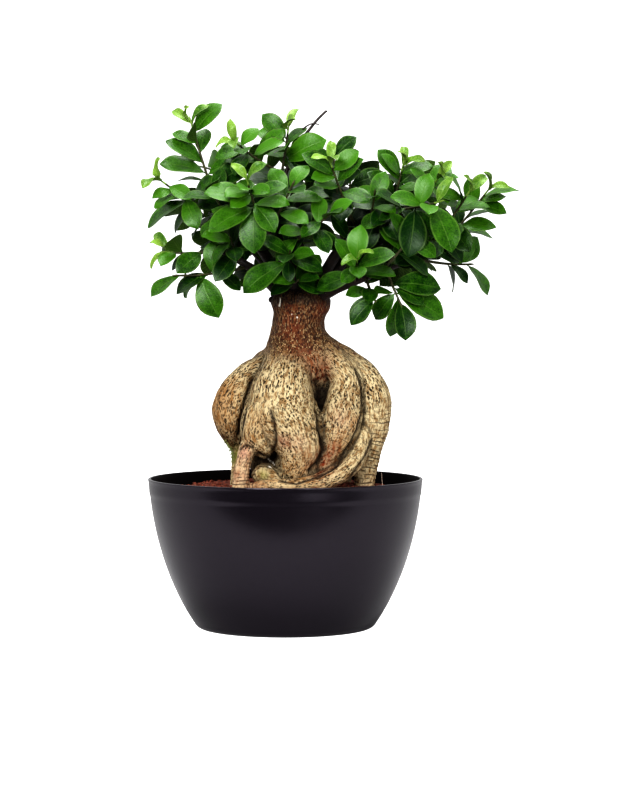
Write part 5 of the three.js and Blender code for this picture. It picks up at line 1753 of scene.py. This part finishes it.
SHOOTS: tuple[Shoot, ...] = tuple(Shoot(*row) for row in (
    ("top_left", "left_high", 0.92, (-73, -14, 398), 3, 3,
     ((-87, 10, 27, 20), (-79, 10, 39), (-59, 8, 36, 15), (11, -30, 25, 25), (-68, 0, 22, 5), (43, 8, 33, 20))),
    ("left", "left_high", 1, (-94, -22, 354), 2, 4,
     ((-144, 5, 30, 5), (-122, -8, 42, 10), (157, 25, 31, -5), (-121, 12, 24, -5), (-112, 18, 20, -20),
      (121, 25, 24, -10))),
    ("low_left", "left_low", 1, (-88, -30, 300), 3, 2,
     ((-140, 25, 30, -35), (-130, 20, 22, 5), (-79, -20, 23, 5), (-113, 46, 24, -20))),
    ("hanging_left", "left_low", 0.6, (-84, -38, 282), 0, 3,
     ((129, 10, 23, -15), (-110, 18, 31), (156, 6, 38, 5), (-178, -40, 26, 20), (-126, 10, 30, 5))),
    ("front_left", "front", 1, (-28, -66, 352), 2, 3,
     ((-118, 16, 43, -5), (-180, 10, 39), (144, 2, 31), (-82, 14, 40), (72, 12, 30), (-131, 34, 25, -25),
      (-112, 34, 27), (101, 46, 24, 5), (56, 16, 31, 35))),
    ("upper_left", "centre", 1, (-36, -36, 384), 3, 3,
     ((-92, 25, 32), (-125, 16, 39, -10), (65, 16, 28), (-150, 40, 28), (-105, 6, 25, -10), (44, -14, 21, 5))),
    ("top", "centre", 0.86, (2, -14, 394), 2, 4,
     ((64, 14, 40, 20), (130, 10, 34), (25, 0, 26, 10), (-68, -16, 27, 5), (95, -20, 29))),
    ("centre", "right_high", 0.72, (37, -46, 366), 3, 3,
     ((-102, 10, 30), (74, 14, 30), (186, 50, 32), (110, 30, 28), (-88, 36, 26), (50, 24, 30), (-57, 12, 33),
      (52, 8, 26, 20))),
    ("inner_front", "front", 0.62, (36, -60, 330), 0, 4,
     ((-160, 10, 26), (-92, 30, 26), (150, 25, 26), (-130, 36, 25), (60, 20, 24))),
    ("low_centre", "front", 0.4, (4, -56, 300), 0, 3,
     ((-125, 8, 44), (186, 24, 20), (110, 16, 30), (84, 32, 24), (-60, 10, 28), (10, 20, 26))),
    ("collar", "front", 0.22, (10, -46, 278), 0, 2,
     ((-118, 24, 24), (112, 20, 26), (-92, 30, 24), (84, 36, 22))),
    ("low_right", "right_front", 0.55, (56, -66, 292), 2, 3,
     ((-112, 8, 34), (95, 16, 33, -15), (-130, 46, 23, -15), (72, 18, 34), (6, 12, 31, -20))),
    ("under_right", "right_front", 0.7, (70, -60, 263), 0, 1,
     ((-175, 46, 26), (-100, 8, 21), (85, -35, 24, -10), (-144, -4, 21), (-138, 6, 28))),
    ("bottom_right", "right_front", 0.96, (90, -47, 261), 0, 1,
     ((96, -6, 40, 10), (120, 14, 28, -5), (118, 6, 44, 10), (-170, -12, 33, -30), (171, 6, 32, -5))),
    ("front_right", "right_high", 1, (116, -66, 338), 1, 4,
     ((128, -6, 30), (-114, 10, 24, 20), (-172, 12, 41, -5), (-76, 24, 30), (158, 14, 43, 5))),
    ("upper_right", "right_top", 0.7, (92, -18, 364), 3, 4,
     ((-103, 16, 40), (-52, 10, 30, -10), (94, 20, 22), (-34, 2, 31, -5), (64, 20, 27, -5))),
    ("right_crest", "right_top", 1, (118, -34, 355), 3, 3,
     ((-64, 14, 28), (98, 24, 28), (36, -22, 30, -10), (70, 30, 26), (20, 8, 20, 30))),
    ("right_shelf", "right_far", 0.9, (142, -40, 344), 2, 4,
     ((141, 8, 29, 15), (143, 26, 32, 35), (82, 12, 28, -20), (-80, 30, 26))),
    ("far_right", "right_far", 1, (158, -14, 346), 2, 3,
     ((97, -6, 34, -25), (100, 4, 31, 15), (82, -6, 23, -35), (7, -8, 29, -15), (105, 12, 26, 20),
      (80, 4, 31, -20))),
    ("low_far_right", "right_far", 0.86, (146, -4, 291), 0, 2,
     ((-20, 10, 26), (137, 0, 22, 15), (34, 8, 22, 10), (146, 4, 31, 5))),
    ("inner_right", "right_high", 0.86, (82, -34, 330), 0, 4,
     ((-130, 16, 28), (120, 14, 28), (-84, 24, 26), (60, 30, 26))),
    ("inner_left", "left_low", 0.72, (-42, -44, 310), 0, 5,
     ((-145, 28, 32, -30), (-68, 0, 23, 15), (-135, 20, 25, 20))),
    ("mid_left", "left_high", 0.66, (-58, -44, 348), 0, 7),
    ("mid_centre", "front", 0.84, (6, -62, 352), 0, 7),
    ("mid_right", "right_top", 0.5, (70, -52, 346), 0, 6),
    ("mid_low_right", "right_front", 0.88, (98, -50, 312), 0, 6),
    ("mid_far_right", "right_far", 0.78, (124, -44, 318), 0, 6),
    ("crest", "right_high", 0.5, (38, -14, 382), 0, 6),
    ("back_top_left", "left_high", 0.8, (-52, 14, 374), 0, 7),
    ("back_left", "back_left", 1, (-78, 52, 338), 0, 8),
    ("back_left_low", "back_left", 0.78, (-62, 56, 304), 0, 7),
    ("back_left_mid", "back_left", 0.92, (-36, 72, 346), 0, 7),
    ("back_upper_left", "back_centre", 0.82, (-22, 36, 376), 0, 8),
    ("back_crown", "back_centre", 1, (16, 54, 376), 0, 8),
    ("back_mid", "back_centre", 0.74, (22, 76, 334), 0, 8),
    ("back_low", "back_centre", 0.5, (-12, 66, 306), 0, 7),
    ("inner_top", "right_high", 0.6, (52, 0, 370), 0, 6),
    ("back_upper_right", "back_right", 0.9, (64, 46, 364), 0, 9),
    ("back_right_low", "back_right", 0.7, (66, 68, 304), 0, 7),
    ("back_right", "back_right", 1, (102, 64, 338), 0, 9),
    ("back_far_right", "back_right", 0.96, (128, 38, 330), 0, 8),
    ("back_right_crest", "right_top", 0.86, (102, 18, 360), 0, 8),
    ("low_back_right", "right_far", 0.7, (98, 34, 300), 0, 6),
))


@dataclass
class Foliage:
    """All leafy shoots and their pale new growth."""

    leaf: LeafFinish
    young_leaf: LeafFinish
    stem: TwigFinish
    young_stem: TwigFinish
    crown_middle: Place = (35.0, 6.0, 318.0)
    crown_reach: Place = (140.0, 76.0, 84.0)
    tolerance: float = 0.05
    darkest: float = 0.05
    by_lot: float = 0.68
    inside_shade: float = 0.3
    by_upness: float = 0.3
    hanging_shade: float = 0.34
    stem_sides: int = 8
    stem_rings: int = 14
    stem_radii: Span = (1.25, 0.75)
    stem_inside: float = 2.5
    bud: float = 5.0
    hidden_bud: float = 0.3
    old_tip: float = 0.35
    joint: float = 0.12
    joint_turn: float = 34.0
    young_radii: Span = (0.75, 0.6)
    young_length: float = 6.0
    young_gap: float = 0.35
    taken: list[Array] = field(default_factory=list)

    def settled(self, node: str, base: Array, wishes: Array, form: LeafForm) -> tuple[Leaves, Array]:
        """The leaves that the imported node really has, each with the turn that it took.

        A leaf's turn is the first whose tip is a corner of the node's mesh.

        Args:
            node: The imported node's name.
            base: The wished leaves' bases.
            wishes: Their clock angles, leans, lengths and rolls.
            form: Their form.

        Returns:
            The leaves, and the numbers of their wishes.
        """
        corners = mesh_points(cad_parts[node].data)
        tries = np.repeat(wishes[:, None], len(TURNS), axis=1)
        tries[..., :2] += TURNS[None]
        flat = tries.reshape(-1, 4)
        leaves = Leaves.placed(np.repeat(base, len(TURNS), axis=0), flat, form)
        tips = leaves.midrib(np.array([1.0]))[:, 0]
        apart = np.linalg.norm(tips[:, None] - corners[None], axis=2).min(1).reshape(len(wishes), len(TURNS))
        found = apart < self.tolerance
        kept = np.flatnonzero(found.any(1))
        chosen = tries[kept, found[kept].argmax(1)]
        return Leaves.placed(base[kept], chosen, form), kept

    def tones(self, leaves: Leaves, upness: Array, seed: int) -> Array:
        """A tone for each leaf: by chance, and lighter near a growing tip.

        It also carries painted shade: darker towards the crown's inside and where a leaf hangs.

        Args:
            leaves: The leaves.
            upness: How near each is to a growing tip, from 0 to 1.
            seed: The number that the chance grows from.

        Returns:
            The tones.
        """
        spot = (leaves.base - np.array(self.crown_middle)) / np.array(self.crown_reach)
        outside = np.clip(np.linalg.norm(spot, axis=1), 0.0, 1.0)
        chance = np.random.default_rng(seed).uniform(0.0, 1.0, len(upness))
        hanging = np.clip(-leaves.along[:, 2], 0.0, 1.0)
        # Painted shade: leaves towards the crown's inside and leaves that hang are darker.
        tone = self.darkest + self.by_lot * chance**1.6 + self.inside_shade * outside**3
        return tone + self.by_upness * upness - self.hanging_shade * hanging

    def stem_shell(self, line: Array, thick: float, thin: float, bud: float) -> Shell:
        """A stem: a tube that tapers, swells at its joints and ends in a pointed bud.

        Args:
            line: The points of its line.
            thick: Its radius at the foot.
            thin: Its radius at the end.
            bud: The bud's length.

        Returns:
            The surface.
        """
        shares = np.linspace(0, 1, len(line))
        radii = thick + (thin - thick) * shares
        radii = radii * (1 + self.joint * np.maximum(np.cos(shares * self.joint_turn), 0.0) ** 6)
        tip = unit(line[-1] - line[-2])
        ahead = np.array([0.2, 0.5, 0.8, 1.0])
        bud_line = line[-1] + tip * bud * ahead[:, None]
        bud_radii = thin * np.array([1.25, 1.05, 0.55, 0.12])
        both = np.concatenate([radii, bud_radii])
        return tube(np.concatenate([line, bud_line]), both, self.stem_sides, np.array([0.3, 0.6, 0.74]))

    def build_shoot(self, number: int, shoot: Shoot, finishes: list[Material]) -> None:
        """Makes one shoot: its stem, its listed leaves and the leaves by rule.

        Args:
            number: Its place among all shoots.
            shoot: The shoot.
            finishes: The materials of its leaves and of its stem.
        """
        node = "shoot_" + shoot.name
        shells = []
        for order, (heights, wishes) in enumerate((shoot.listed_wishes(), shoot.ruled_wishes(100 + number))):
            if not len(wishes):
                continue
            leaves, kept = self.settled(node, shoot.stem(heights), wishes, FORMS[Age.GROWN])
            self.taken.append(leaves.spots().reshape(-1, 3))
            upness = heights[kept] ** 3 * (1.0 if shoot.young else self.old_tip)
            seed = 1000 + 10 * number + order
            shells.append(leaves.shell(self.tones(leaves, upness, seed), seed))
        start, out = shoot.foot()
        line = np.concatenate([[start - self.stem_inside * out], shoot.stem(np.linspace(0, 1, self.stem_rings))])
        stem = self.stem_shell(line, *self.stem_radii, self.hidden_bud if shoot.young else self.bud)
        stem.finish = 1
        mesh = join_shells("leaves_" + shoot.name, [*shells, stem])
        add_piece(mesh, Slot.LEAF, finishes, node)

    def build_young(self, number: int, shoot: Shoot, finishes: list[Material]) -> None:
        """Makes a shoot's pale new growth: a short stem above its tip and small folded leaves round it.

        Args:
            number: Its place among the shoots that have new growth.
            shoot: The shoot.
            finishes: The materials of its leaves and of its stem.
        """
        stream = draws(500 + number)
        axis = shoot.heading()
        start = np.array(shoot.tip, float) + axis * self.young_gap
        end = start + axis * self.young_length
        phase = 360 * next(stream)
        sideways = unit(np.array([0.0, -1.0, 0.0]) + axis * axis[1])
        rows = []
        for i in range(shoot.young):
            out = turned(sideways, axis, phase + GOLDEN_ANGLE * i)
            spread = math.radians(52 - 12 * i + 8 * next(stream))
            clock, lean = clock_and_lean(axis * math.cos(spread) + out * math.sin(spread))
            rows.append((clock, lean, 22 - 3 * i + 3 * next(stream), 0.0))
        share = (0.35 + 0.25 * np.arange(shoot.young))[:, None]
        node = "young_" + shoot.name
        leaves, kept = self.settled(node, start + (end - start) * share, np.array(rows), FORMS[Age.YOUNG])
        tint = 0.35 + 0.25 * kept + 0.2 * np.random.default_rng(900 + number).uniform(0, 1, len(kept))
        line = np.array(shoot.tip, float) + axis * np.linspace(0.1, self.young_length, 6)[:, None]
        stem = self.stem_shell(line, *self.young_radii, self.bud)
        stem.finish = 1
        mesh = join_shells("young_leaves_" + shoot.name, [leaves.shell(tint, 700 + number), stem])
        add_piece(mesh, Slot.YOUNG_LEAF, finishes, node)

    def build(self, effects: Effects) -> None:
        """Makes every shoot and all new growth."""
        grown = [self.leaf.material(effects), self.stem.material(effects)]
        pale = [self.young_leaf.material(effects), self.young_stem.material(effects)]
        for number, shoot in enumerate(SHOOTS):
            self.build_shoot(number, shoot, grown)
        for number, shoot in enumerate(s for s in SHOOTS if s.young):
            self.build_young(number, shoot, pale)
        InnerLeaves().build(grown, np.concatenate(self.taken))


@dataclass
class InnerLeaves:
    """The leaves inside the crown, on the stems between the outer leaves and on the limbs' ends, dark as painted shade.
    """

    middle: Place = (34.0, 14.0, 318.0)
    reach: Place = (118.0, 70.0, 62.0)
    low: float = 272.0
    tries: int = 2600
    spreads: Span = (50.0, 95.0)
    lengths: Span = (23.0, 33.0)
    rolls: Span = (-25.0, 25.0)
    on_stems: Span = (0.1, 0.9)
    on_limbs: Span = (0.45, 0.98)
    lightest: float = 0.16
    cell: float = 2.6
    margin: float = 40.0
    seed: int = 61

    def carriers(self) -> tuple[Array, Array]:
        """Places on the stems and limbs that a leaf may grow from, and the way of the wood there."""
        lines = [shoot.stem(np.linspace(*self.on_stems, 9)) for shoot in SHOOTS]
        shares = np.linspace(*self.on_limbs, 9)
        lines += [limb.points(shares) for name, limb in LIMBS.items() if name != "bare_twig"]
        return np.concatenate(lines), np.concatenate([unit(np.gradient(line, axis=0)) for line in lines])

    def tried(self) -> Leaves:
        """Many leaves, each from a place and in a direction drawn by lot, spreading from the wood at a wide angle."""
        chance = np.random.default_rng(self.seed)
        places, ways = self.carriers()
        lot = chance.integers(0, len(places), self.tries)
        way = ways[lot]
        out = chance.normal(size=(self.tries, 3))
        out = unit(out - way * (out * way).sum(1, keepdims=True))
        spread = np.radians(chance.uniform(*self.spreads, self.tries))[:, None]
        heading = way * np.cos(spread) + out * np.sin(spread)
        clock = np.degrees(np.arctan2(heading[:, 0], heading[:, 2]))
        lean = np.degrees(np.arcsin(np.clip(-heading[:, 1], -1.0, 1.0)))
        length, roll = (chance.uniform(*lots, self.tries) for lots in (self.lengths, self.rolls))
        wish = np.stack([clock, lean, length, roll], -1)
        return Leaves.placed(places[lot], wish, FORMS[Age.GROWN])

    def clear_of(self, leaves: Leaves, taken: Array) -> Array:
        """The numbers of the leaves that lie inside the crown and share no cell of space with one before them.

        Args:
            leaves: The leaves tried.
            taken: Points on the outer leaves.

        Returns:
            The numbers.
        """
        spots = leaves.spots()
        within = np.linalg.norm((spots - np.array(self.middle)) / np.array(self.reach), axis=2).max(1) < 1.0
        within &= spots[..., 2].min(1) > self.low
        corner = taken.min(0) - self.margin
        size = np.ceil((np.ptp(taken, axis=0) + 2 * self.margin) / self.cell).astype(int)
        full = np.zeros(size, bool)
        full[tuple(((taken - corner) / self.cell).astype(int).T)] = True
        kept = []
        for number in np.flatnonzero(within):
            cells = tuple(((spots[number] - corner) / self.cell).astype(int).T)
            if not full[cells].any():
                full[cells] = True
                kept.append(number)
        return np.array(kept, int)

    def build(self, finishes: list[Material], taken: Array) -> None:
        """Makes the leaves and dresses them."""
        leaves = self.tried()
        kept = self.clear_of(leaves, taken)
        parts = (leaves.base, leaves.along, leaves.face, leaves.across, leaves.length)
        inner = Leaves(*(part[kept] for part in parts), leaves.form)
        # Painted shade: the inner leaves take only dark tones.
        tint = self.lightest * np.random.default_rng(self.seed + 1).uniform(0.0, 1.0, len(kept)) ** 1.5
        add_piece(inner.shell(tint, self.seed + 2).mesh("inner_leaves"), Slot.LEAF, finishes)
        LOG.info("inner leaves: %d", len(kept))


# The studio


@dataclass(frozen=True)
class SoftBox:
    """A square soft light, in metres and watts, aimed at a point."""

    name: str
    place: Place
    aim: Place
    size: float
    power: float

    def hang(self) -> None:
        """Puts the light into the scene."""
        light = bpy.data.lights.new(self.name, "AREA")
        light.shape = "SQUARE"
        light.size = self.size
        light.energy = self.power
        made = put_object(self.name, light)
        made.location = self.place
        made.rotation_euler = (Vector(self.aim) - Vector(self.place)).to_track_quat("-Z", "Y").to_euler()


@dataclass
class Studio:
    """The camera where the photographer stood, a white floor and soft light."""

    camera_at: Place = (18.5, -2200.0, 279.0)
    looking_down: float = 2.51
    lens: float = 123.84
    floor_reach: float = 6.0
    floor_front: float = 0.27
    behind: float = 1.1
    front_glow: float = 0.08
    back_glow: float = 0.6
    top_glow: float = 0.3
    boxes: tuple[SoftBox, ...] = (
        SoftBox("key light", (-0.6, -1.75, 0.98), (0.02, 0.0, 0.2), 0.7, 31.0),
        SoftBox("fill light", (0.85, -1.9, 0.34), (0.02, 0.0, 0.16), 0.8, 19.0),
        SoftBox("top light", (0.1, 0.0, 1.7), (0.02, 0.0, 0.3), 0.8, 17.0),
    )

    def camera(self) -> None:
        """Makes the camera and hands it to the scene."""
        data = bpy.data.cameras.new("camera")
        data.lens = self.lens
        data.clip_end = 100.0
        made = put_object("camera", data)
        made.location = Vector(self.camera_at) * MM
        made.rotation_euler = (math.radians(90.0 - self.looking_down), 0.0, 0.0)
        bpy.context.scene.camera = made

    def floor(self, finish: FloorFinish) -> None:
        """Lays the floor."""
        r, front = self.floor_reach / MM, self.floor_front / MM
        corners = np.array([[-r, -front, 0.0], [r, -front, 0.0], [r, r, 0.0], [-r, r, 0.0]])
        shell = Shell(corners, np.array([[0, 1, 2, 3]]), np.empty((0, 3), int))
        mesh = shell.mesh("floor")
        mesh.materials.append(finish.material())
        put_object("floor", mesh)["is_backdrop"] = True

    def sky(self) -> None:
        """Lights the scene softly, brightest from behind and above, and puts white behind the object."""
        world = bpy.data.worlds.new("studio")
        world.use_nodes = True
        bpy.context.scene.world = world
        graph = Graph(world.node_tree)
        way = graph.add("ShaderNodeSeparateXYZ", {"Vector": graph.add("ShaderNodeTexCoord").outputs["Generated"]})
        round_about = graph.spread(way.outputs[1], -0.65, 0.5, self.front_glow, self.back_glow)
        above = graph.spread(way.outputs[2], 0.3, 1.0, 0.0, self.top_glow)
        glow = graph.plus(round_about, above)
        seen = graph.add("ShaderNodeLightPath").outputs["Is Camera Ray"]
        strength = graph.plus(glow, graph.times(seen, graph.minus(self.behind, glow)))
        background = world.node_tree.nodes["Background"].inputs
        graph.feed(background["Color"], WHITE)
        graph.feed(background["Strength"], strength)

    def build(self) -> None:
        """Makes the camera, the floor and the light."""
        self.camera()
        self.floor(FloorFinish())
        self.sky()
        for box in self.boxes:
            box.hang()
        bpy.context.scene.view_settings.view_transform = "Standard"
        bpy.context.scene.view_settings.look = "High Contrast"


def main() -> None:
    """Builds every piece in order, from the bowl up."""
    logging.basicConfig(level=logging.INFO, format="%(name)s %(message)s")
    effects = Effects(flecks_group(), mottle_group(), rings_group(), veins_group())
    bowl = Bowl()
    bowl.build(
        BowlFinish(),
        # The inside is darker than the outside: painted shade inside the bowl, with soil stains.
        BowlFinish("stained black plastic in painted shade", (0.0020, 0.0013, 0.0010), (0.004, 0.003, 0.002), (0.5, 0.7), 0.12),
        effects,
    )
    Soil(bowl).build(SoilFinish(), effects)
    Trunk().build(BarkFinish(), effects)
    RootHairs().build(
        TwigFinish("moss", (0.22, 0.28, 0.07), (0.42, 0.46, 0.18), (0.5, 0.54, 0.28)),
        TwigFinish("root fibre", (0.30, 0.21, 0.16), (0.52, 0.42, 0.34), (0.6, 0.5, 0.4)),
        effects,
    )
    Limbs().build(TwigFinish(), effects)
    Foliage(
        leaf=LeafFinish(),
        young_leaf=LeafFinish(
            "young ficus leaf", deep=(0.022, 0.095, 0.003), fresh=(0.21, 0.35, 0.055), under=(0.14, 0.24, 0.035),
            rib=(0.42, 0.52, 0.22), edge=(0.03, 0.09, 0.006), roughness=0.3,
        ),
        stem=TwigFinish("green stem", (0.022, 0.020, 0.008), (0.085, 0.085, 0.028), (0.15, 0.14, 0.08)),
        young_stem=TwigFinish("young stem", (0.10, 0.19, 0.02), (0.24, 0.36, 0.06), (0.3, 0.4, 0.15)),
    ).build(effects)
    Studio().build()


def write_sizes() -> None:
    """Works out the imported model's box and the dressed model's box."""
    boxes = {"cad": CAD_BOX, "visual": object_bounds()}
    {key: [list(low), list(high)] for key, (low, high) in boxes.items()}


if __name__ == "__main__":
    main()
    write_sizes()
